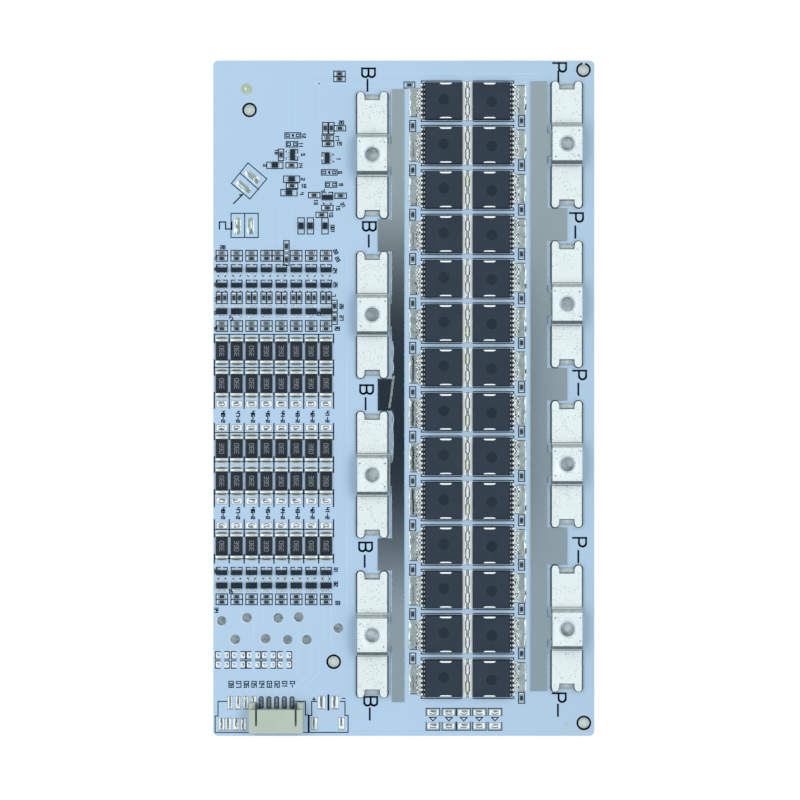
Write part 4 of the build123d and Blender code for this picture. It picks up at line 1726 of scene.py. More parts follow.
    def build(self) -> None:
        """Builds the leads with their pads, and the tabs with the solder between them."""
        shared = [self.finishes.tab_tin, self.finishes.bright_tin, self.finishes.residue_and_shade,
                  self.finishes.beads, self.finishes.pad_solder, self.finishes.flux]
        boxes = {side: package_boxes(side) for side in ("left", "right")}
        for side, turn in (("left", 0.0), ("right", 180.0)):
            places = stands(boxes[side], turn)
            forms = [self.leads().repeated(places)]
            for variant in range(self.variants):
                seed = variant + (0 if side == "left" else 10)
                patch = joined([self.pad(seed), self.lumps(seed), self.highlights_and_dark_end(seed, side == "right")])
                forms.append(patch.repeated(places[variant::self.variants]))
            if side == "left":
                forms += [self.dark_streak(row).repeated(places[row:row + 1])
                          for row in self.streaked_rows]
            Piece(f"soldered_leads_{side}", shared, "tinned_leads",
                  [f"transistor_leads_{side}"]).from_form(joined(forms))
            tabs = [self.tab(variant).repeated(places[variant::self.variants])
                    for variant in range(self.variants)]
            Piece(f"cooling_tabs_{side}", shared, "tinned_leads",
                  [f"transistor_tabs_{side}"]).from_form(joined(tabs))
        middles = (stands(boxes["left"]) + stands(boxes["right"])) / 2
        forms = [self.joint_between(number).repeated(middles[number:number + 1]) for number in range(14)]
        Piece("solder_between_tabs", shared, "tinned_leads").from_form(joined(forms))


def solder_fillet(width: float, reach: float, height: float, swell: float = 0.25, finish: int = 0) -> Form:
    """A hollow solder fillet that falls from a wall along the X axis towards +Y.

    Along the way out its height falls with the power 2.2 of the way left, and its outer line
    bows back towards the wall at both sides by the share swell.

    Args:
        width: The width along the wall.
        reach: How far it runs out.
        height: Its height at the wall.
        swell: How much shorter it is at its sides.
        finish: The number of the finish.

    Returns:
        The closed form.
    """
    out = np.linspace(0.0, 1.0, 7)[None]
    across = np.linspace(-1.0, 1.0, 9)[:, None]
    bow = 1 - swell * np.abs(across) ** 3
    x = across * width / 2 * np.ones_like(out)
    y = reach * out * bow
    z = height * (1 - out) ** 2.2 * (1 - 0.25 * np.abs(across) ** 4)
    return quilt(x, y, z, 0.0, finish)


def upright(boxes: np.ndarray) -> np.ndarray:
    """Which of several boxes are longer along Y than along X."""
    size = boxes[:, 1] - boxes[:, 0]
    return size[:, 1] > size[:, 0]


def first_size(boxes: np.ndarray) -> np.ndarray:
    """The size of the first of several equal boxes."""
    return boxes[0, 1] - boxes[0, 0]


def transistor_turns(count: int) -> np.ndarray:
    """The angles of the three lead transistors: two near the end of the list stand sideways."""
    turns = np.zeros(count)
    turns[-3:-1] = (-90.0, 90.0)
    return turns


def stands(boxes: np.ndarray, turn: np.ndarray | float = 0.0) -> np.ndarray:
    """Where forms stand that take the place of boxes: at the middles of the boxes' undersides.

    Args:
        boxes: Boxes by two corners by three coordinates.
        turn: The angle in degrees, one for all or one for each.

    Returns:
        Rows of x, y, z and angle.
    """
    rows = np.zeros((len(boxes), 4))
    rows[:, :2] = boxes.mean(1)[:, :2]
    rows[:, 2] = boxes[:, 0, 2]
    rows[:, 3] = turn
    return rows


GLYPHS: dict[str, tuple[Pairs, ...]] = {
    "0": (((0, 0), (4, 0), (4, 6), (0, 6), (0, 0)),),
    "1": (((1, 5), (2, 6), (2, 0)),),
    "2": (((0, 6), (4, 6), (4, 3), (0, 3), (0, 0), (4, 0)),),
    "3": (((0, 6), (4, 6), (4, 0), (0, 0)), ((0, 3), (4, 3))),
    "4": (((0, 6), (0, 3), (4, 3)), ((4, 6), (4, 0))),
    "5": (((4, 6), (0, 6), (0, 3), (4, 3), (4, 0), (0, 0)),),
    "6": (((4, 6), (0, 6), (0, 0), (4, 0), (4, 3), (0, 3)),),
    "7": (((0, 6), (4, 6), (4, 0)),),
    "8": (((0, 0), (4, 0), (4, 6), (0, 6), (0, 0)), ((0, 3), (4, 3))),
    "9": (((0, 0), (4, 0), (4, 6), (0, 6), (0, 3), (4, 3)),),
    "-": (((0.5, 3), (3.5, 3)),),
    "+": (((0.5, 3), (3.5, 3)), ((2, 1.5), (2, 4.5))),
}


def written(text: str, height: float, narrow: float = 0.85) -> np.ndarray:
    """The strokes of a plain number, as runs for bars, centred on its middle.

    Each sign is drawn on a grid of four by six steps, and the signs stand six steps apart.

    Args:
        text: The signs.
        height: Their height.
        narrow: How much narrower the signs are than the grid, as a share.

    Returns:
        Rows of x and y of the start and end of each stroke.
    """
    step = height / 6
    runs = []
    for number, sign in enumerate(text):
        for line in GLYPHS[sign]:
            runs.append(chain(np.array(line, float) + np.array([6.0 * number, 0.0])))
    middle = np.array([(6 * len(text) - 2) / 2, 3.0])
    return (np.vstack(runs) - np.tile(middle, 2)) * step * np.array([narrow, 1.0, narrow, 1.0])


def turned_runs(runs: np.ndarray, degrees: float, x: float, y: float) -> np.ndarray:
    """Runs turned anticlockwise about the origin and then shifted to a place."""
    angle = math.radians(degrees)
    matrix = np.array([[math.cos(angle), math.sin(angle)], [-math.sin(angle), math.cos(angle)]])
    return (runs.reshape(-1, 2) @ matrix + np.array([x, y])).reshape(-1, 4)


@dataclass
class Chips:
    """Chip resistors and capacitors: a body with tinned end caps and a fillet at each end."""

    finishes: Finishes
    cap: float = 0.22
    skin: float = 0.02
    fillet_reach: float = 0.42

    def form(self, length: float, width: float, height: float) -> Form:
        """One chip along X.

        Args:
            length: Its size along X.
            width: Its size along Y.
            height: Its height.

        Returns:
            The chip, its body with finish 0, its caps with 1, its solder with 2 and its seams with 3.
        """
        body = block(length - self.cap, width, height, corner=0.05, edge=0.04)
        reach = (length - self.cap) / 2
        cap = block(self.cap, width + 2 * self.skin, height + self.skin, corner=0.08, edge=0.07, finish=1)
        fillet = solder_fillet(width, self.fillet_reach, height * 0.7, finish=2)
        fillet = fillet.moved(0, length / 2 - 0.04)
        ends = [cap.moved(side * reach) for side in (-1, 1)]
        solder = [fillet.turned(-90 * side) for side in (-1, 1)]
        seams = [[side * (length / 2 + 0.05), -width / 2, side * (length / 2 + 0.05), width / 2]
                 for side in (-1, 1)]
        return joined([body, *ends, *solder, bars(seams, 0.1, height * 0.66, 0.03, finish=3)])

    def build(self) -> None:
        """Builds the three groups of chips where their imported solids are."""
        groups = (
            ("chip_resistors", "resistor_coat", self.finishes.chip_glaze),
            ("gate_resistors", "resistor_coat", self.finishes.chip_glaze),
            ("chip_capacitors", "capacitor_ceramic", self.finishes.ceramic),
        )
        for node, slot, finish in groups:
            boxes = solids_in(node)
            size = first_size(boxes)
            form = self.form(max(size[:2]), min(size[:2]), size[2])
            places = stands(boxes, np.where(upright(boxes), 90.0, 0.0))
            finishes = [finish, self.finishes.chip_cap, self.finishes.beads, self.finishes.residue_and_shade]
            Piece(f"{node}_capped", finishes, slot, [node]).from_form(form.repeated(places))


class Reading(Enum):
    """Which way the number on a balancing resistor runs."""

    UP = 90.0
    DOWN = -90.0


@dataclass
class BalancingResistors:
    """The five rows of large chip resistors, their caps, fillets and printed value."""

    finishes: Finishes
    skin: float = 0.03
    fillet_reach: float = 0.85
    number: str = "390"
    number_height: float = 1.12
    stroke: float = 0.12
    readings: tuple[str, ...] = ("UUUDDDDD", "UUUDDDDU", "DUUUUUDU", "UUUDDUDD", "UDUDUUUU")

    def build(self) -> None:
        """Builds the dark bodies with their numbers, and all end caps with their solder."""
        rows = [solids_in(f"balancing_resistors_row_{number}") for number in range(1, 6)]
        ends = solids_in("balancing_resistor_ends")
        cap_size = first_size(ends)
        for number, (boxes, reading) in enumerate(zip(rows, self.readings), 1):
            size = first_size(boxes)
            body = block(size[0] - 0.04, size[1] + 0.1, size[2], corner=0.05, edge=0.03)
            boxes = boxes[np.argsort(boxes[:, 0, 0])]
            marks = []
            for box, sign in zip(boxes, reading):
                turn = Reading.UP.value if sign == "U" else Reading.DOWN.value
                marks.append(turned_runs(written(self.number, self.number_height), turn, *box.mean(0)[:2]))
            print_form = bars(np.vstack(marks), self.stroke, boxes[0, 1, 2] - 0.001, 0.008, finish=1)
            Piece(f"balancing_row_{number}", [self.finishes.overglaze, self.finishes.marking],
                  "resistor_coat", [f"balancing_resistors_row_{number}"]).from_form(
                joined([body.repeated(stands(boxes)), print_form]))
        cap = block(cap_size[0], cap_size[1], cap_size[2] + self.skin, corner=0.1, edge=0.09)
        tops = np.sort(np.unique(np.round(np.concatenate(rows)[:, 1, 1], 3)))
        above = np.isclose(ends[:, 0, 1][:, None], tops[None], atol=0.05).any(1)
        fillet = solder_fillet(cap_size[0] - 0.1, self.fillet_reach, cap_size[2] * 0.92, 0.3, 1).moved(
            0, cap_size[1] / 2 - 0.05)
        across = np.linspace(-1.12, 1.12, 7)
        rim = cap_size[1] / 2 + 0.1 + 0.2 * (1 - (across / 1.12) ** 2)
        arc = bars(chain(np.column_stack([across, rim])), 0.17, 0.0, cap_size[2] * 0.74, finish=2)
        turns = np.where(above, 0.0, 180.0)
        finishes = [self.finishes.cap, self.finishes.cap, self.finishes.seam]
        Piece("balancing_end_caps", finishes, "tinned_leads", ["balancing_resistor_ends"]).from_form(
            joined([cap, fillet, arc]).repeated(stands(ends, turns)))


@dataclass
class LeadedPackages:
    """Small mouldings on bent leads: transistors, amplifiers and diodes.

    Lengths are in millimetres. foot is the length of a lead's level end, and shoulder how far
    the lead runs out before it bends down.
    """

    finishes: Finishes
    pitch: float = 0.95
    lead_width: float = 0.4
    lead_thickness: float = 0.13
    foot: float = 0.26
    shoulder: float = 0.08

    def moulding(self, length: float, width: float, height: float) -> Form:
        """A body that is widest at its parting line, a little below half its height.

        Args:
            length: Its size along X.
            width: Its size along Y.
            height: Its height.

        Returns:
            The closed form.
        """
        shape = outline(length, width, 0.08, 2)
        insets = [0.09, 0.05, 0.0, 0.0, 0.1, 0.13, 0.18]
        heights = np.array([0.06, 0.1, 0.42, 0.48, 0.95, 0.985, 1.0]) * height
        return raised(shape, insets, heights)

    def lead(self, start: float, height: float, width: float) -> Form:
        """A gull wing lead towards +Y: level out of the body, down, and level along its pad.

        Args:
            start: Where the body ends along Y.
            height: The body's height.
            width: The lead's width.

        Returns:
            The closed form.
        """
        knee = start + self.shoulder
        middle = 0.45 * height
        low = self.lead_thickness / 2 + 0.02
        path = np.array([
            [start - 0.15, middle], [start + 0.06, middle], [knee - 0.02, middle - 0.05],
            [knee + 0.06, middle * 0.6], [knee + 0.13, low + 0.05], [knee + 0.2, low],
            [knee + 0.2 + self.foot, low],
        ])
        return swept(path, width, self.lead_thickness, 1)

    def pad(self, start: float, width: float) -> Form:
        """The solder on the pad under a lead's foot."""
        return pillow(width + 0.25, self.foot + 0.38, 0.12, steps=2, finish=2).moved(
            0, start + self.shoulder + 0.2 + self.foot / 2 + 0.05)

    def package(self, length: float, width: float, height: float, above: Sequence[float],
                below: Sequence[float], lead_width: float) -> Form:
        """A moulding with its leads.

        Args:
            length: The body's size along X.
            width: Its size along Y.
            height: Its height.
            above: The places across of the leads towards +Y.
            below: Those of the leads towards -Y.
            lead_width: The leads' width.

        Returns:
            The package and the solder under its feet.
        """
        foot = joined([self.lead(width / 2, height, lead_width), self.pad(width / 2, lead_width)])
        parts = [self.moulding(length, width, height)]
        parts += [foot.moved(x) for x in above]
        parts += [foot.turned(180).moved(x) for x in below]
        return joined(parts)

    def build(self) -> None:
        """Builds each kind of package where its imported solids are."""
        finishes = [self.finishes.small_moulding, self.finishes.lead, self.finishes.solder]
        boxes = solids_in("small_transistors")
        three = (-self.pitch, 0.0, self.pitch)
        form = self.package(*first_size(boxes), (0.0,), three[::2], self.lead_width)
        Piece("three_lead_transistors", finishes, "small_moulding", ["small_transistors"]).from_form(
            form.repeated(stands(boxes, transistor_turns(len(boxes)))))
        boxes = solids_in("small_amplifiers")
        six, five = (self.package(*first_size(boxes), above, three, self.lead_width)
                     for above in (three, three[::2]))
        half = len(boxes) // 2
        amplifiers = joined([six.repeated(stands(boxes[:half])), five.repeated(stands(boxes[half:]))])
        Piece("leaded_amplifiers", finishes, "small_moulding", ["small_amplifiers"]).from_form(amplifiers)
        boxes = solids_in("small_diodes")
        size = first_size(boxes)
        diode = self.package(min(size[:2]), max(size[:2]), size[2], (0.0,), (0.0,), 0.32)
        Piece("leaded_diodes", finishes, "small_moulding", ["small_diodes"]).from_form(
            diode.repeated(stands(boxes, np.where(upright(boxes), 0.0, 90.0))))


@dataclass
class PlugSocket:
    """The side entry socket: a moulded shell, and its contacts with their soldered tails.

    The lengths are those of the two slots in its top, in millimetres, and slot_inset is how far
    they lie from its sides.
    """

    finishes: Finishes
    slot_inset: float = 1.85
    slot_length: float = 4.2
    slot_width: float = 0.44

    def build(self) -> None:
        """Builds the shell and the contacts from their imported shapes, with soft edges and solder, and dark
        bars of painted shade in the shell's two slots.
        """
        Piece("socket_shell", [self.finishes.nylon], "socket_plastic", ["socket_housing"],
              bevel=0.1).from_node("socket_housing")
        boxes = solids_in("socket_contacts")
        back = node_box("socket_housing")[1, 1]
        tails = boxes.copy()
        tails[:, 0, 1] = back - 1.6
        spots = stands(tails)
        long = tails[0, 1, 1] - tails[0, 0, 1]
        arch = pillow(1.34, long + 1.0, 0.34, corner=0.6, finish=1)
        heart = pillow(0.7, long + 0.5, 0.5, corner=0.3, finish=2)
        contacts = merged(form_of_node("socket_contacts"), 1e-3).wearing(1)
        finishes = [self.finishes.lead, self.finishes.seam, self.finishes.dull_solder]
        Piece("socket_pins", finishes, "tinned_leads", ["socket_contacts"]).from_form(
            joined([contacts, joined([arch, heart]).repeated(spots)]))
        low, high = node_box("socket_housing")
        middle, reach = (low[0] + high[0]) / 2, (high[0] - low[0]) / 2 - self.slot_inset
        start, end = high[1] - 0.4, high[1] - self.slot_length + 0.3
        slots = [[middle + side * reach, start, middle + side * reach, end] for side in (-1, 1)]
        # Painted shade: dark bars that fill the two slots up to a little below the shell's top.
        Piece("socket_slot_shade", [self.finishes.residue_and_shade], "socket_plastic").from_form(
            bars(slots, self.slot_width, low[2] + 1.0, high[2] - low[2] - 1.35))


def frames(spots: np.ndarray, length: float, width: float) -> np.ndarray:
    """The four sides of a rectangle round each of many spots, as runs for bars.

    Args:
        spots: Rows of x and y.
        length: The rectangles' size along X.
        width: Their size along Y.

    Returns:
        Four rows for each spot.
    """
    signs = np.array([[-1, -1], [1, -1], [1, 1], [-1, 1]]) * np.array([length, width]) / 2
    start = np.asarray(spots, float).reshape(-1, 1, 2) + signs[None]
    return np.concatenate([start, np.roll(start, -1, 1)], -1).reshape(-1, 4)


def arched(x: float, low: float, high: float, reach: float, steps: int = 8) -> np.ndarray:
    """A line from a stem out, round a half ellipse and back to the stem, for the bowl of a letter.

    Args:
        x: Where the stem stands.
        low: The bowl's lower height.
        high: Its upper height.
        reach: How far it stands out.
        steps: Steps round the half ellipse.

    Returns:
        The points.
    """
    swing = np.linspace(math.pi / 2, -math.pi / 2, steps + 1)
    radius = (high - low) / 2
    centre = np.array([x + reach - radius, (low + high) / 2])
    round_part = centre + radius * np.stack([np.cos(swing), np.sin(swing)], -1)
    return np.vstack([[[x, high]], round_part, [[x, low]]])


class Pole(Enum):
    """The two polarity marks beside the terminals."""

    BATTERY = "B"
    OUTPUT = "P"


@dataclass(frozen=True)
class Grid:
    """Places that the print and the bare pads share, from the board's left and top edges.

    first_column and column_pitch are those of the balancing resistors, pair_columns and pair_rows
    those of the unused places with two pads each, and diode_columns those at the lower edge.
    """

    first_column: float = 2.2
    column_pitch: float = 3.86
    channels: int = 8
    pair_columns: tuple[float, ...] = (2.37, 6.5, 10.38, 14.35, 18.48)
    pair_rows: tuple[float, ...] = (154.13, 156.52)
    diode_columns: tuple[float, ...] = (56.92, 61.06, 64.9, 68.91, 72.98)


@dataclass
class PrintedLines:
    """The dark print: outlines round the parts, plain numbers, hole rings and polarity marks.

    Lengths are in millimetres. Places are measured from the board's left and top edges, and each
    number has its text, its place and its angle. hair, fine, bold and broad are widths of lines,
    and small_stroke and row_stroke those of the small numbers and of the ones between the rows.
    worn_hole is the hole whose ring is partly worn away. package_lines has how far the lines by a
    power package reach outwards, inwards and away from its middle, package_ticks where their
    ticks end, diode_half half the width of a frame at the lower edge, diode_edges the inner and
    outer ends of its two parts, and diode_triangle the triangle's half width, base and tip.
    """

    plan: Plan
    finishes: Finishes
    grid: Grid = Grid()
    hair: float = 0.25
    small_stroke: float = 0.25
    row_stroke: float = 0.28
    fine: float = 0.26
    bold: float = 0.34
    broad: float = 0.5
    height: float = 0.015
    ring: float = 1.66
    ring_width: float = 0.46
    holes: Pairs = ((9.38, 12.81), (95.91, 2.42), (96.01, 171.65), (31.19, 155.79))
    worn_hole: int = 1
    number_height: float = 0.82
    channel_rows: tuple[float, float] = (92.3, 117.3)
    package_lines: tuple[float, float, float] = (5.84, 4.65, 5.24)
    package_ticks: tuple[float, float] = (4.8, -4.9)
    transistor_marks: tuple[Pairs, ...] = (
        ((-1.4, 0.6), (-1.4, 1.34), (-0.42, 1.34)), ((0.42, 1.34), (1.4, 1.34), (1.4, 0.6)),
        ((-1.1, -1.42), (-0.8, -1.7)), ((0.8, -1.7), (1.1, -1.42)))
    chip_margin: tuple[float, float] = (0.69, 0.3)
    gate_margin: tuple[float, float] = (0.61, 0.39)
    diode_frame: tuple[float, float] = (4.2, 1.66)
    resistor_lines: tuple[float, ...] = (70.95, 79.55, 96.4, 103.95, 112.2, 121.5, 129.05)
    resistor_bars: Pairs = (
        (71.0, 73.1), (77.6, 81.5), (86.1, 90.1), (94.1, 98.2), (102.7, 106.7), (111.2, 115.6),
        (119.0, 123.4), (128.0, 130.2))
    letter_step: float = 0.56
    battery_marks: Pairs = (
        (40.21, 3.17), (40.44, 42.97), (39.72, 85.25), (39.46, 126.02), (40.78, 166.02))
    battery_dashes: Pairs = (
        (39.95, 6.41), (40.28, 46.77), (39.46, 88.95), (39.22, 129.75), (40.54, 169.31))
    output_marks: Pairs = (
        (89.74, 1.77), (94.12, 40.66), (94.92, 81.49), (94.92, 124.81), (89.64, 165.09))
    output_dashes: Pairs = (
        (89.4, 4.29), (93.81, 44.44), (94.59, 85.19), (94.59, 128.56), (89.3, 168.35))
    lone_dash: Pairs = ((29.82, 164.5), (29.82, 168.2))
    dash: float = 2.9
    diode_half: float = 1.78
    diode_edges: Pairs = ((169.8, 167.87), (171.45, 173.55))
    diode_triangle: tuple[float, float, float] = (0.9, 170.2, 171.15)
    small_frames: Triples = (
        (20.6, 19.42, 4.1), (20.39, 21.7, 3.0), (30.03, 29.0, 4.1), (30.52, 32.16, 3.0))
    numbers: Labels = (
        ("12", 23.45, 19.42, -90), ("11", 22.69, 21.9, -90), ("5", 23.26, 24.39, -90),
        ("18", 16.4, 23.67, -90), ("3", 13.37, 27.14, -90), ("14", 22.62, 27.14, -90),
        ("2", 23.21, 30.76, -90), ("16", 23.4, 32.53, 0), ("4", 22.95, 34.47, -90),
        ("13", 26.58, 36.67, -90), ("7", 28.4, 33.6, -90), ("9", 33.11, 32.16, -90),
        ("6", 32.85, 29.03, -90), ("1", 32.46, 25.53, -90), ("15", 32.33, 38.17, -90),
        ("10", 30.52, 39.91, -90), ("001", 30.9, 43.6, -90), ("17", 32.1, 20.09, -90),
        ("19", 32.6, 21.54, 0), ("20", 33.2, 16.08, 0), ("21", 33.6, 37.5, -60),
        ("41", 0.78, 51.15, -90), ("42", 0.78, 53.92, -90), ("43", 0.78, 57.81, -90),
        ("44", 0.78, 61.7, -90), ("45", 0.78, 65.19, -90), ("46", 0.78, 69.3, -90),
        ("28", 2.46, 48.38, 0), ("47", 4.48, 66.67, -60), ("22", 31.74, 49.57, -60),
        ("23", 32.2, 51.5, -60), ("24", 31.55, 54.47, -90), ("25", 31.68, 58.12, -90),
        ("7", 31.24, 60.87, -90), ("26", 33.24, 63.74, -90), ("27", 33.24, 66.72, -90),
        ("29", 32.12, 69.47, 0), ("30", 27.41, 65.43, -90), ("31", 31.76, 132.01, -90),
        ("32", 31.76, 135.63, -90), ("33", 32.2, 140.56, 0), ("34", 0.82, 142.42, -90),
        ("35", 4.61, 137.45, -90), ("36", 0.78, 132.27, -90))
    large_numbers: Labels = (("1", 6.42, 35.89, -45), ("2", 3.19, 42.76, -90))
    socket_columns: tuple[float, ...] = (4.61, 6.6, 8.58, 10.56, 12.55, 14.53, 16.52, 18.5, 20.49)
    socket_row: float = 161.65
    socket_lines: tuple[Pairs, ...] = (
        ((3.7, 166.08), (1.22, 166.08), (1.22, 169.86), (0.47, 169.86), (0.47, 174.1), (24.4, 174.1)),
        ((24.59, 174.1), (24.59, 169.57), (23.86, 169.57), (23.86, 166.05), (21.3, 166.05)),
        ((26.8, 166.08), (25.49, 166.08), (25.49, 169.7), (24.85, 169.7), (24.85, 174.1),
         (34.92, 174.1), (34.92, 169.7), (34.12, 169.7), (34.12, 166.08), (32.9, 166.08)))
    signs: tuple[tuple[str, float, float], ...] = (("+", 26.1, 165.5), ("-", 33.76, 165.3))
    switch_frame: Pairs = ((8.99, 26.54), (13.86, 30.66), (9.48, 35.89), (4.69, 31.83))
    switch_divider: Pairs = ((6.94, 29.18), (11.68, 33.4))
    second_frame: Pairs = ((4.59, 39.6), (11.63, 39.6), (11.63, 45.87), (4.59, 45.87))

    def line(self, points: Sequence[Sequence[float]], closed: bool = False) -> np.ndarray:
        """The runs of a line whose points are measured from the left and top edges."""
        return chain(np.array([self.plan.at(*point) for point in points]), closed)

    def ink(self, runs: Sequence[np.ndarray], width: float) -> Form:
        """The print of several groups of runs, all of one width."""
        return bars(np.vstack(runs), width, self.plan.face, self.height)

    def label(self, signs: str, x: float, y: float, turn: float, height: float,
              narrow: float = 0.85) -> np.ndarray:
        """The runs of a plain number at a place that is measured from the left and top edges."""
        return turned_runs(written(signs, height, narrow), turn, *self.plan.at(x, y))

    def rings(self) -> Form:
        """The dark rings round the four screw holes, each of 48 short bars.

        The worn one lacks the bars from 66 to 104 degrees, and two of each three from 296 to 350.
        """
        swing = np.linspace(0, 2 * math.pi, 49)[:-1]
        circle = self.ring * np.stack([np.cos(swing), np.sin(swing)], -1)
        degrees = np.degrees(swing)
        worn = (degrees > 66) & (degrees < 104)
        worn |= (degrees > 296) & (degrees < 350) & (np.arange(48) % 3 > 0)
        rings = [chain(circle + np.array(self.plan.at(*hole)), True) for hole in self.holes]
        rings[self.worn_hole] = rings[self.worn_hole][~worn]
        return self.ink(rings, self.ring_width)

    def round_chips(self) -> np.ndarray:
        """Frames round the chip resistors, chip capacitors, gate resistors and small diodes."""
        runs = []
        for node, margin in (("chip_resistors", self.chip_margin), ("chip_capacitors", self.chip_margin),
                             ("gate_resistors", self.gate_margin)):
            boxes = solids_in(node)
            size = first_size(boxes)
            long, short = max(size[:2]) + 2 * margin[0], min(size[:2]) + 2 * margin[1]
            middles, tall = boxes.mean(1)[:, :2], upright(boxes)
            runs += [frames(middles[~tall], long, short), frames(middles[tall], short, long)]
        boxes = solids_in("small_diodes")
        middles, tall = boxes.mean(1)[:, :2], upright(boxes)
        runs += [frames(middles[~tall], *self.diode_frame), frames(middles[tall], *self.diode_frame[::-1])]
        return np.vstack(runs)

    def round_transistors(self) -> np.ndarray:
        """A bracket behind each three lead transistor, and a short mark beside its two other pads."""
        boxes = solids_in("small_transistors")
        mark = np.vstack([chain(points) for points in self.transistor_marks])
        return np.vstack([turned_runs(mark, turn, *box.mean(0)[:2])
                          for box, turn in zip(boxes, transistor_turns(len(boxes)))])

    def round_packages(self) -> np.ndarray:
        """The lines above and below each power package, with a tick towards it at the outer end."""
        runs = []
        out, inwards, away = self.package_lines
        for side, turn in (("left", 1.0), ("right", -1.0)):
            for box in package_boxes(side):
                x, y = middle_and_size(box)[0][:2]
                outer, inner = x - turn * out, x + turn * inwards
                runs += [chain(((outer, y + tick), (outer, y + row), (inner, y + row)))
                         for tick, row in zip(self.package_ticks, (away, -away))]
        return np.vstack(runs)

    def round_resistors(self) -> tuple[np.ndarray, np.ndarray]:
        """The bold bars between the balancing resistors' columns and the fine lines between rows."""
        pitch = self.grid.column_pitch
        edges = self.grid.first_column + pitch * (np.arange(self.grid.channels + 1) - 0.5)
        bold = [self.line(((edge, top), (edge, end))) for edge in edges for top, end in self.resistor_bars]
        fine = [self.line(((edge + 0.1, row), (edge + pitch - 0.1, row)))
                for edge in edges[:-1] for row in self.resistor_lines]
        return np.vstack(bold), np.vstack(fine)

    def brackets(self) -> np.ndarray:
        """Square brackets round the unused two pad places in the lower left."""
        runs = []
        for row in self.grid.pair_rows:
            for column in self.grid.pair_columns:
                for side in (-1, 1):
                    inner, outer = column + side * 0.6, column + side * 1.8
                    low, high = row - 0.96, row + 0.96
                    runs.append(self.line(((inner, low), (outer, low), (outer, high), (inner, high))))
        return np.vstack(runs)

    def diode_places(self) -> np.ndarray:
        """Frames, open at their sides, with a triangle, round the unused places at the lower edge."""
        runs = []
        half, base, tip = self.diode_triangle
        for column in self.grid.diode_columns:
            left, right = column - self.diode_half, column + self.diode_half
            runs += [self.line(((left, inner), (left, outer), (right, outer), (right, inner)))
                     for inner, outer in self.diode_edges]
            runs.append(self.line(((column - half, base), (column + half, base), (column, tip)), True))
        return np.vstack(runs)

    def switches(self) -> np.ndarray:
        """The turned and the level frame round the two pairs of long pads."""
        middle = (self.second_frame[0][0] + self.second_frame[1][0]) / 2
        return np.vstack([
            self.line(self.switch_frame, True), self.line(self.switch_divider),
            self.line(self.second_frame, True),
            self.line(((middle, self.second_frame[0][1]), (middle, self.second_frame[2][1])))])

    def small_places(self) -> np.ndarray:
        """Frames round the four unused small places in the control corner."""
        runs = [self.line(((x - length / 2, y - 0.7), (x + length / 2, y - 0.7), (x + length / 2, y + 0.7),
                           (x - length / 2, y + 0.7)), True) for x, y, length in self.small_frames]
        for x, y, length in self.small_frames:
            gap = length * 0.31 if length > 3.5 else 0.8
            spots = [self.plan.at(x + side * gap, y) for side in (-1, 1)]
            runs.append(frames(np.array(spots), 0.78, 0.66))
            if length > 3.5:
                runs += [self.line(((x + step, y - reach), (x + step, y + reach))) for step, reach in
                         ((-0.18, 0.1), (0.0, 0.2), (0.16, 0.34))]
        return np.vstack(runs)

    def small_numbers(self) -> np.ndarray:
        """The plain numbers beside the parts and above the socket's pads."""
        runs = [self.label(*number, self.number_height) for number in self.numbers]
        labels = [f"0{8 - number}" for number in range(8)] + ["0-"]
        runs += [self.label(signs, x, self.socket_row, -90, 1.15, 0.8)
                 for signs, x in zip(labels, self.socket_columns)]
        return np.vstack(runs)

    def channel_numbers(self) -> np.ndarray:
        """The plain numbers between the balancing rows."""
        runs = []
        for number in range(self.grid.channels):
            column = self.grid.first_column + self.grid.column_pitch * number + 0.35
            runs += [self.label(f"{48 - number}-2", column, row, -90, self.number_height, 0.95)
                     for row in self.channel_rows]
        return np.vstack(runs)

    def mark(self, pole: Pole) -> np.ndarray:
        """The strokes of a polarity letter, read with its top upwards.

        Args:
            pole: Which letter.

        Returns:
            The runs, centred on the letter's middle.
        """
        reach, step = 4.0, self.letter_step
        bowls = {Pole.BATTERY: ((0.0, 3.0), (3.0, 6.0)), Pole.OUTPUT: ((2.7, 6.0),)}
        lines = [chain(((0.0, 0.0), (0.0, 6.0)))]
        lines += [chain(arched(0.0, low, high, reach)) for low, high in bowls[pole]]
        return np.vstack(lines) * step - np.tile([reach * step / 2, 3 * step], 2)

    def polarity(self) -> np.ndarray:
        """The polarity letters, read from above downwards, and the stroke below each."""
        runs = []
        for pole, marks, dashes in ((Pole.BATTERY, self.battery_marks, self.battery_dashes),
                                    (Pole.OUTPUT, self.output_marks, self.output_dashes)):
            runs += [turned_runs(self.mark(pole), -90, *self.plan.at(*place)) for place in marks]
            runs += [self.line(((x, y - self.dash / 2), (x, y + self.dash / 2))) for x, y in dashes]
        return np.vstack(runs)

    def build(self) -> None:
        """Builds all print as one piece."""
        bold, fine = self.round_resistors()
        socket = [self.line(points) for points in self.socket_lines]
        signs = [self.label(*sign, 0, 1.7) for sign in self.signs]
        large = [self.label(*number, 3.2) for number in self.large_numbers]
        outlines = [self.round_chips(), self.round_transistors(), self.round_packages(),
                    self.brackets(), self.diode_places(), self.small_places()]
        Piece("printed_lines", [self.finishes.print_ink], "solder_mask").from_form(joined([
            self.rings(),
            self.ink([fine, self.switches(), *socket, *signs], self.fine),
            self.ink(outlines, self.hair),
            self.ink([self.small_numbers()], self.small_stroke),
            self.ink([self.channel_numbers()], self.row_stroke),
            self.ink([bold, *large], self.bold),
            self.ink([self.polarity(), self.line(self.lone_dash)], self.broad)]))


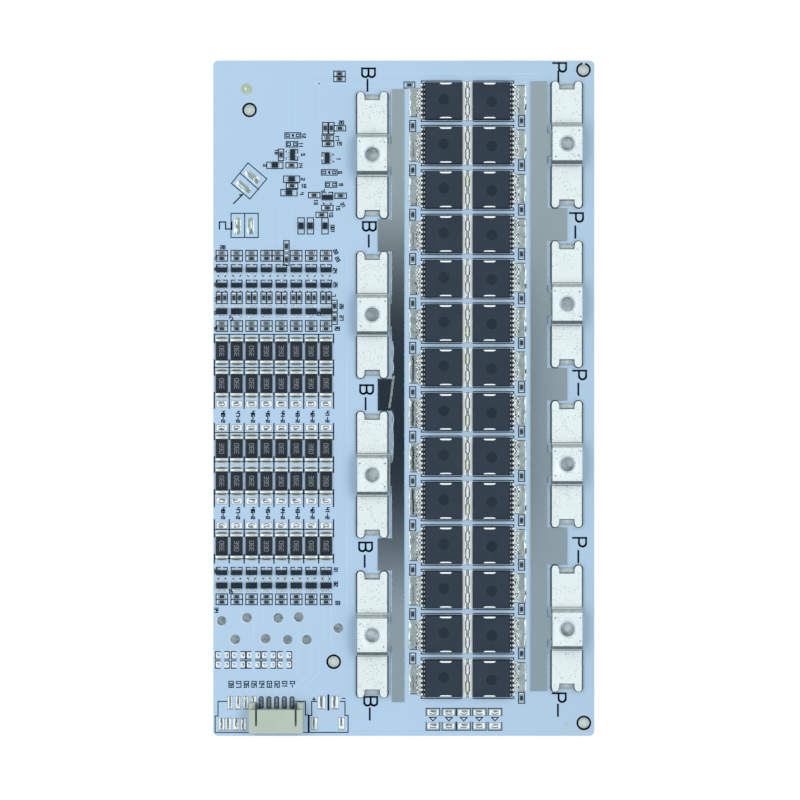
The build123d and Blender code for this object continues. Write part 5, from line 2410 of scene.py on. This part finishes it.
@dataclass
class BarePads:
    """The tinned pads that carry no part, and the solder under the socket.

    Lengths are in millimetres, and places are measured from the board's left and top edges. dome
    is how high the solder stands, and steps how many points a pad's grid has each way. A switch
    pad has its place and angle, and a small pad or a round mark its place and its gap or size.
    """

    plan: Plan
    finishes: Finishes
    grid: Grid = Grid()
    dome: float = 0.09
    steps: int = 14
    round_size: float = 2.7
    round_spots: Pairs = (
        (2.05, 145.27), (8.65, 144.44), (16.74, 144.52), (22.05, 144.29), (5.62, 150.06),
        (13.45, 149.91), (19.17, 150.17), (24.12, 150.17), (32.33, 147.16))
    pair_gap: float = 1.14
    resistor_rows: tuple[float, ...] = (88.98, 95.19, 114.13, 120.48)
    resistor_pad: tuple[float, float] = (2.75, 1.55)
    diode_rows: tuple[float, ...] = (168.95, 172.42)
    socket_pads: Pairs = ((4.35, 166.44), (6.4, 166.44), (8.39, 166.44), (10.47, 166.44))
    anchor_pads: Pairs = (
        (2.12, 172.01), (3.86, 172.01), (5.85, 172.01), (7.82, 172.01), (26.19, 171.85), (33.19, 171.85))
    wide_pads: Pairs = ((28.06, 166.39), (31.5, 166.39))
    switch_pads: Triples = (
        (10.13, 30.17, -40.0), (7.82, 32.71, -40.0), (6.27, 42.89, 90.0), (9.64, 42.89, 90.0))
    small_pads: Triples = (
        (20.6, 19.42, 1.35), (20.39, 21.7, 0.9), (30.03, 29.0, 1.35), (30.52, 32.16, 0.95))
    fiducials: Triples = ((8.6, 7.37, 3.0), (91.48, 171.96, 0.9))

    def wavy(self, length: float, width: float, seed: int, finish: int = 0, power: float = 4.0) -> Form:
        """A pad of set solder: a rounded rectangle whose height is a dome with seeded smooth noise.

        The grid's points are drawn in at the corners, so that the outline is an ellipse raised to
        the given power.

        Args:
            length: The size along X.
            width: The size along Y.
            seed: The noise's seed.
            finish: The number of the finish.
            power: The ellipse's power.

        Returns:
            The closed form.
        """
        rows = columns = self.steps
        u = np.linspace(-1, 1, rows)[:, None]
        v = np.linspace(-1, 1, columns)[None]
        pull = 1 / (np.abs(u) ** power + np.abs(v) ** power + 1e-9) ** (1 / power)
        edge = np.maximum(np.abs(u), np.abs(v))
        share = np.where(edge > 0, np.minimum(pull * edge, 1.0), 1.0)
        x = u * share * length / 2
        y = v * share * width / 2
        noise = smooth_noise((rows, columns), (4, 4), seed)
        z = self.dome * (1 - edge ** 6) * (0.75 + 0.45 * noise) + 0.012
        return quilt(x, y, z, 0.0, finish)

    def disc(self, size: float, seed: int, finish: int = 0) -> Form:
        """A round pad of set solder: a square grid drawn into a circle, with a low dome and noise.

        Args:
            size: The diameter.
            seed: The noise's seed.
            finish: The number of the finish.

        Returns:
            The closed form.
        """
        rows = columns = self.steps
        u = np.linspace(-1, 1, rows)[:, None] + np.zeros((1, columns))
        v = np.linspace(-1, 1, columns)[None] + np.zeros((rows, 1))
        x = u * np.sqrt(1 - v ** 2 / 2) * size / 2
        y = v * np.sqrt(1 - u ** 2 / 2) * size / 2
        edge = np.maximum(np.abs(u), np.abs(v))
        noise = smooth_noise((rows, columns), (4, 4), seed)
        z = 0.5 * self.dome * (1 - edge ** 6) * (0.8 + 0.7 * noise) + 0.012
        return quilt(x, y, z, 0.0, finish)

    def edged(self, length: float, width: float, seed: int) -> Form:
        """A pad whose solder has drawn to its rim: dark seam, pale rim, dull streak, dark crescent.

        The crescent is the lower part of an ellipse, and the streak is shifted by a seeded share.

        Args:
            length: The size along X.
            width: The size along Y.
            seed: The seed.

        Returns:
            The pad.
        """
        chance = np.random.default_rng(seed)
        seam = block(length + 0.16, width + 0.16, 0.014, corner=0.25, edge=0.004, finish=4)
        body = self.wavy(length, width, seed, 1, 9.0)
        streak = self.wavy(length * 0.66, width * 0.44, seed + 1, 5).moved(
            chance.uniform(-0.08, 0.08) * length, width * 0.2, 0.03)
        swing = np.radians(np.linspace(205, 335, 7))
        arc = np.stack([0.32 * length * np.cos(swing), 0.3 * width * np.sin(swing)], -1)
        crescent = bars(chain(arc), 0.18, 0.0, self.dome + 0.045, finish=4)
        return joined([seam, body, streak, crescent])

    def ridged(self, length: float, width: float, seed: int) -> Form:
        """A long pad with a dull streak along its middle between two pale ridges, dark at one end.

        Args:
            length: The size along X.
            width: The size along Y.
            seed: The seed.

        Returns:
            The pad.
        """
        chance = np.random.default_rng(seed)
        seam = block(length + 0.14, width + 0.14, 0.014, corner=0.12, edge=0.004, finish=4)
        body = self.wavy(length, width, seed, 1, 9.0)
        streak = self.wavy(length * 0.9, width * 0.4, seed + 1, 5, 9.0).moved(
            0.05 * length, chance.uniform(-0.14, 0.14) * width, 0.03)
        place = chance.uniform(-0.1, 0.1) * width
        marks = [[-0.1 * length, place, 0.3 * length, place],
                 [-length / 2 + 0.2, -0.3 * width, -length / 2 + 0.2, 0.3 * width]]
        return joined([seam, body, streak, bars(marks, 0.14, 0.0, self.dome + 0.045, finish=4)])

    def curled(self, length: float, width: float, seed: int) -> Form:
        """A small pad with a dark curl where its solder has risen."""
        hook = np.array([[-0.26, 0.3], [0.22, 0.32], [0.26, -0.12], [-0.04, -0.16]])
        mark = bars(chain(hook), 0.15, 0.0, self.dome + 0.04, finish=4)
        return joined([self.wavy(length, width, seed, 1), mark])

    def laid(self, form: Form, spots: Iterable[Sequence[float]], turn: float = 0.0) -> Form:
        """A form repeated at places that are measured from the left and top edges."""
        return form.repeated(self.plan.places(spots, turn))

    def build(self) -> None:
        """Builds every bare pad as one piece."""
        forms = []
        # Painted highlight: each round pad's white rim shows as a crescent on one side of its offset dark
        # disc.
        rim = block(self.round_size, self.round_size, 0.014, corner=self.round_size / 2 - 0.01,
                    edge=0.004, steps=6, finish=1)
        for number, (x, y) in enumerate(self.round_spots):
            disc = self.disc(self.round_size - 0.16, number + 20, 6).moved(0, 0, 0.01)
            forms += [self.laid(rim, [(x, y)]), self.laid(disc, [(x + 0.06, y - 0.07)], 37.0 * number)]
        pairs = [(column + side * self.pair_gap, row) for column in self.grid.pair_columns
                 for row in self.grid.pair_rows for side in (-1, 1)]
        forms.append(self.laid(self.curled(1.15, 1.45, 40), pairs))
        columns = [self.grid.first_column + self.grid.column_pitch * column
                   for column in range(self.grid.channels)]
        for number, row in enumerate(self.resistor_rows):
            for half in (0, 1):
                pad = self.edged(*self.resistor_pad, 60 + 2 * number + half)
                spots = [(column, row) for column in columns[half::2]]
                forms.append(self.laid(pad, spots, 180.0 * (number % 2)))
        for number, column in enumerate(self.grid.diode_columns):
            spots = [(column, row) for row in self.diode_rows]
            forms.append(self.laid(self.edged(2.85, 1.52, 80 + number), spots))
        for spots, size, seed in ((self.socket_pads, (3.4, 1.25), 90),
                                  (self.anchor_pads, (3.2, 1.45), 130), (self.wide_pads, (3.4, 1.9), 140)):
            forms += [self.laid(self.ridged(*size, seed + number), [spot], 90.0)
                      for number, spot in enumerate(spots)]
        for number, (x, y, turn) in enumerate(self.switch_pads):
            forms.append(self.laid(self.wavy(4.3, 1.75, 100 + number), [(x, y)], turn))
        small = [(x + side * gap, y) for x, y, gap in self.small_pads for side in (-1, 1)]
        forms.append(self.laid(self.wavy(0.5, 0.4, 110, 2), small))
        for x, y, size in self.fiducials:
            forms += [self.laid(self.disc(size, 120, 3), [(x, y)]),
                      self.laid(self.disc(size * 0.3, 121).moved(0, 0, 0.045), [(x, y)])]
        finishes = [self.finishes.flat_solder, self.finishes.beads, self.finishes.trace_mask,
                    self.finishes.bare_coat, self.finishes.seam, self.finishes.dull_solder,
                    self.finishes.round_solder]
        Piece("bare_pads", finishes, "tinned_leads").from_form(joined(forms))


@dataclass
class CopperUnderMask:
    """The faint raised lines of copper under the solder mask.

    Each run has its start and end, measured from the left and top edges in millimetres.
    """

    plan: Plan
    finishes: Finishes
    width: float = 0.35
    runs: tuple[tuple[float, float, float, float], ...] = (
        (19.6, 6.0, 19.6, 17.5), (21.2, 6.0, 21.2, 17.0), (17.2, 38.0, 17.2, 48.0),
        (20.2, 38.5, 20.2, 47.8), (27.4, 5.0, 27.4, 15.5), (10.4, 144.0, 10.4, 152.0),
        (21.9, 147.0, 21.9, 160.0), (25.2, 150.8, 25.2, 158.5), (28.6, 142.0, 28.6, 150.0),
        (30.6, 142.0, 30.6, 153.0), (13.1, 141.5, 13.1, 148.5), (16.9, 141.5, 16.9, 143.0),
        (34.6, 50.0, 34.6, 142.0), (25.2, 158.5, 20.6, 163.0), (27.4, 152.0, 27.4, 158.8),
        (27.4, 158.8, 23.0, 163.2), (24.0, 6.0, 35.5, 6.0), (36.0, 6.8, 84.0, 6.8),
        (24.0, 3.4, 84.0, 3.4))

    def build(self) -> None:
        """Builds the raised lines, and the short runs from the socket's pads up to its numbers."""
        runs = [[*self.plan.at(*run[:2]), *self.plan.at(*run[2:])] for run in self.runs]
        level = [run for run in runs if run[0] == run[2] or run[1] == run[3]]
        slanted = [run for run in runs if run not in level]
        for column in PrintedLines(self.plan, self.finishes).socket_columns:
            level.append([*self.plan.at(column - 0.1, 162.8), *self.plan.at(column - 0.1, 165.0)])
        Piece("copper_under_mask", [self.finishes.trace_mask], "solder_mask").from_form(
            joined([bars(np.array(level), self.width, self.plan.face, 0.006),
                    bars(np.array(slanted), self.width, self.plan.face, 0.009)]))


@dataclass
class Studio:
    """The floor, the lamps, the world, a dark card and the camera.

    sight is the place on the board that the camera looks at and distance how far above it the
    camera stands, both in millimetres. seen is the width that the picture shows there, and sensor
    the camera's own width. The card's place, size, core and fade are in millimetres too. The
    lamps' size and place are in metres, their tilt is in degrees and their power in watts.
    """

    sight: tuple[float, float] = (-0.985, -0.47)
    distance: float = 900.0
    seen: float = 207.3
    sensor: float = 36.0
    card_size: tuple[float, float] = (150.0, 190.0)
    card_place: tuple[float, float, float] = (-3.0, -3.0, 590.0)
    card_core: tuple[float, float] = (18.0, 28.0)
    card_fade: tuple[float, float] = (48.0, 56.0)
    lamp_size: tuple[float, float] = (0.4, 1.1)
    lamp_place: tuple[float, float] = (0.42, 0.86)
    lamp_tilt: float = 26
    lamp_power: float = 3.52

    def build(self, plan: Plan) -> None:
        """Builds the stage round the board.

        Args:
            plan: Where the board lies.
        """
        self.floor(plan)
        self.world()
        self.lamps()
        self.card()
        self.camera(plan)

    def staged(self, form: Form, name: str, finish: str) -> tuple[bpy.types.Object, Shading]:
        """Puts a form that isn't part of the board into the scene.

        Args:
            form: The form.
            name: The object's name.
            finish: The name of its material.

        Returns:
            The object and the shading of its new material, still without nodes.
        """
        item = bpy.data.objects.new(name, mesh_of(form, name))
        bpy.context.scene.collection.objects.link(item)
        material = bpy.data.materials.new(finish)
        material.use_nodes = True
        material.node_tree.nodes.clear()
        item.data.materials.append(material)
        return item, Shading(material.node_tree)

    def floor(self, plan: Plan) -> None:
        """A pale floor, white where the camera sees it beside the board and grey under the board, where it is
        tinted pale green and keeps 0.14 of its glow: painted light that brightens what the screw holes show.

        Args:
            plan: Where the board lies.
        """
        size = 3000.0
        x, y = np.meshgrid(np.linspace(-size, size, 5), np.linspace(-size, size, 5), indexing="ij")
        plane, shading = self.staged(quilt(x, y, np.full_like(x, -0.05), -5.0), "floor", "floor_white")
        path = shading.add("ShaderNodeLightPath")
        matt = shading.add("ShaderNodeBsdfDiffuse", {"Color": (0.93, 0.93, 0.93, 1.0)})
        glow = shading.add("ShaderNodeEmission", {"Color": (1.0, 1.0, 1.0, 1.0), "Strength": 0.35})
        both = shading.add("ShaderNodeAddShader", {0: matt.outputs[0], 1: glow.outputs[0]})
        white = shading.number("MAXIMUM", path.outputs["Is Camera Ray"], shading.mirrored(path))
        place = shading.add("ShaderNodeTexCoord").outputs["Object"]
        split = shading.add("ShaderNodeSeparateXYZ", {"Vector": place})
        past = [shading.number("GREATER_THAN", shading.number("ABSOLUTE", split.outputs[axis]),
                               (reach - 1.0) * MM)
                for axis, reach in (("X", plan.right), ("Y", plan.top))]
        open_floor = shading.number("MAXIMUM", *past)
        # Under the board, 0.14 of the glow stays for what the camera and mirrors see: painted light seen
        # through the screw holes.
        clear = shading.number("MULTIPLY", white, shading.number("MAXIMUM", open_floor, 0.14))
        tint = shading.blend(open_floor, (0.86, 0.95, 0.9, 1.0), (0.93, 0.93, 0.93, 1.0))
        shading.tree.links.new(tint, matt.inputs["Color"])
        choice = shading.add("ShaderNodeMixShader", {0: clear, 1: matt.outputs[0], 2: both.outputs[0]})
        shading.add("ShaderNodeOutputMaterial", {"Surface": choice.outputs[0]})

    def world(self) -> None:
        """A grey sky, bluer towards -Y and darker towards the horizon in front and behind.

        The backdrop that lies lower than the board is white, also in what metal mirrors.
        """
        world = bpy.data.worlds.new("studio")
        bpy.context.scene.world = world
        world.use_nodes = True
        world.node_tree.nodes.clear()
        shading = Shading(world.node_tree)
        place = shading.add("ShaderNodeTexCoord").outputs["Generated"]
        split = shading.add("ShaderNodeSeparateXYZ", {"Vector": place})
        along = shading.ramp(split.outputs["Y"], -0.25, 0.25)
        above = shading.blend(along, (0.33, 0.41, 0.47, 1.0), (0.53, 0.57, 0.55, 1.0))
        edge = shading.number("ABSOLUTE", split.outputs["Y"])
        far = shading.ramp(edge, 0.3, 0.95)
        sky = shading.blend(far, above, (0.30, 0.33, 0.35, 1.0))
        path = shading.add("ShaderNodeLightPath")
        below = shading.number("LESS_THAN", split.outputs["Z"], 0.0)
        under = shading.number("MULTIPLY", below, shading.mirrored(path))
        white = shading.number("MAXIMUM", path.outputs["Is Camera Ray"], under)
        colour = shading.blend(white, sky, (1.0, 1.0, 1.0, 1.0))
        back = shading.add("ShaderNodeBackground", {"Color": colour, "Strength": 1.0})
        shading.add("ShaderNodeOutputWorld", {"Surface": back.outputs[0]})

    def card(self) -> None:
        """A dark card high above the board that only mirroring metal sees, clear towards its edges.

        Its share of dark falls with the distance from a rectangular core.
        """
        width, length = self.card_size
        shape = block(width, length, 0.2, corner=5.0, edge=0.05)
        plate, shading = self.staged(shape.moved(*self.card_place), "dark_card", "card_black")
        place = shading.add("ShaderNodeTexCoord").outputs["Object"]
        split = shading.add("ShaderNodeSeparateXYZ", {"Vector": place})
        beyond = []
        for axis, middle, core, fade in zip("XY", self.card_place, self.card_core, self.card_fade):
            centred = shading.number("SUBTRACT", split.outputs[axis], middle * MM)
            away = shading.number("SUBTRACT", shading.number("ABSOLUTE", centred), core * MM)
            outside = shading.number("DIVIDE", shading.number("MAXIMUM", away, 0.0), fade * MM)
            beyond.append(shading.number("MULTIPLY", outside, outside))
        reach = shading.number("SQRT", shading.number("ADD", *beyond))
        share = shading.ramp(reach, 0.0, 1.0)
        dark = shading.add("ShaderNodeEmission", {"Color": (0.008, 0.018, 0.034, 1.0), "Strength": 1.0})
        clear = shading.add("ShaderNodeBsdfTransparent")
        fading = shading.add("ShaderNodeMixShader", {0: share, 1: dark.outputs[0], 2: clear.outputs[0]})
        shading.add("ShaderNodeOutputMaterial", {"Surface": fading.outputs[0]})
        for ray in ("camera", "diffuse", "transmission", "shadow"):
            setattr(plate, f"visible_{ray}", False)

    def lamps(self) -> None:
        """Two wide soft lamps, one on each side of the board."""
        for name, side in (("lamp_left", -1), ("lamp_right", 1)):
            light = bpy.data.lights.new(name, "AREA")
            light.shape = "RECTANGLE"
            light.size, light.size_y = self.lamp_size
            light.energy = self.lamp_power
            lamp = bpy.data.objects.new(name, light)
            lamp.location = (side * self.lamp_place[0], 0.0, self.lamp_place[1])
            lamp.rotation_euler = (0.0, side * math.radians(self.lamp_tilt), 0.0)
            bpy.context.scene.collection.objects.link(lamp)

    def camera(self, plan: Plan) -> None:
        """The camera, straight above the board, its lens long enough for the photograph's frame.

        The lens is the sensor's width times the distance, divided by the width that is seen.

        Args:
            plan: Where the board lies.
        """
        data = bpy.data.cameras.new("camera")
        data.type = "PERSP"
        data.sensor_width = self.sensor
        data.lens = self.sensor * self.distance / self.seen
        data.clip_start, data.clip_end = 0.01, 20.0
        camera = bpy.data.objects.new("camera", data)
        camera.location = (self.sight[0] * MM, self.sight[1] * MM, (plan.face + self.distance) * MM)
        bpy.context.scene.collection.objects.link(camera)
        bpy.context.scene.camera = camera
        bpy.context.scene.view_settings.view_transform = "Standard"


def main() -> None:
    """Builds every sub-assembly in order."""
    logging.basicConfig(level=logging.INFO, format="%(name)s %(message)s")
    finishes = Finishes()
    plan = Plan.read()
    Studio().build(plan)
    CircuitBoard(plan, finishes).build()
    BridgeTerminal(finishes).build()
    ConductorStrips(finishes).build()
    PowerTransistors(finishes).build()
    TransistorJoints(finishes).build()
    BalancingResistors(finishes).build()
    Chips(finishes).build()
    LeadedPackages(finishes).build()
    PlugSocket(finishes).build()
    CopperUnderMask(plan, finishes).build()
    BarePads(plan, finishes).build()
    PrintedLines(plan, finishes).build()


if __name__ == "__main__":
    main()
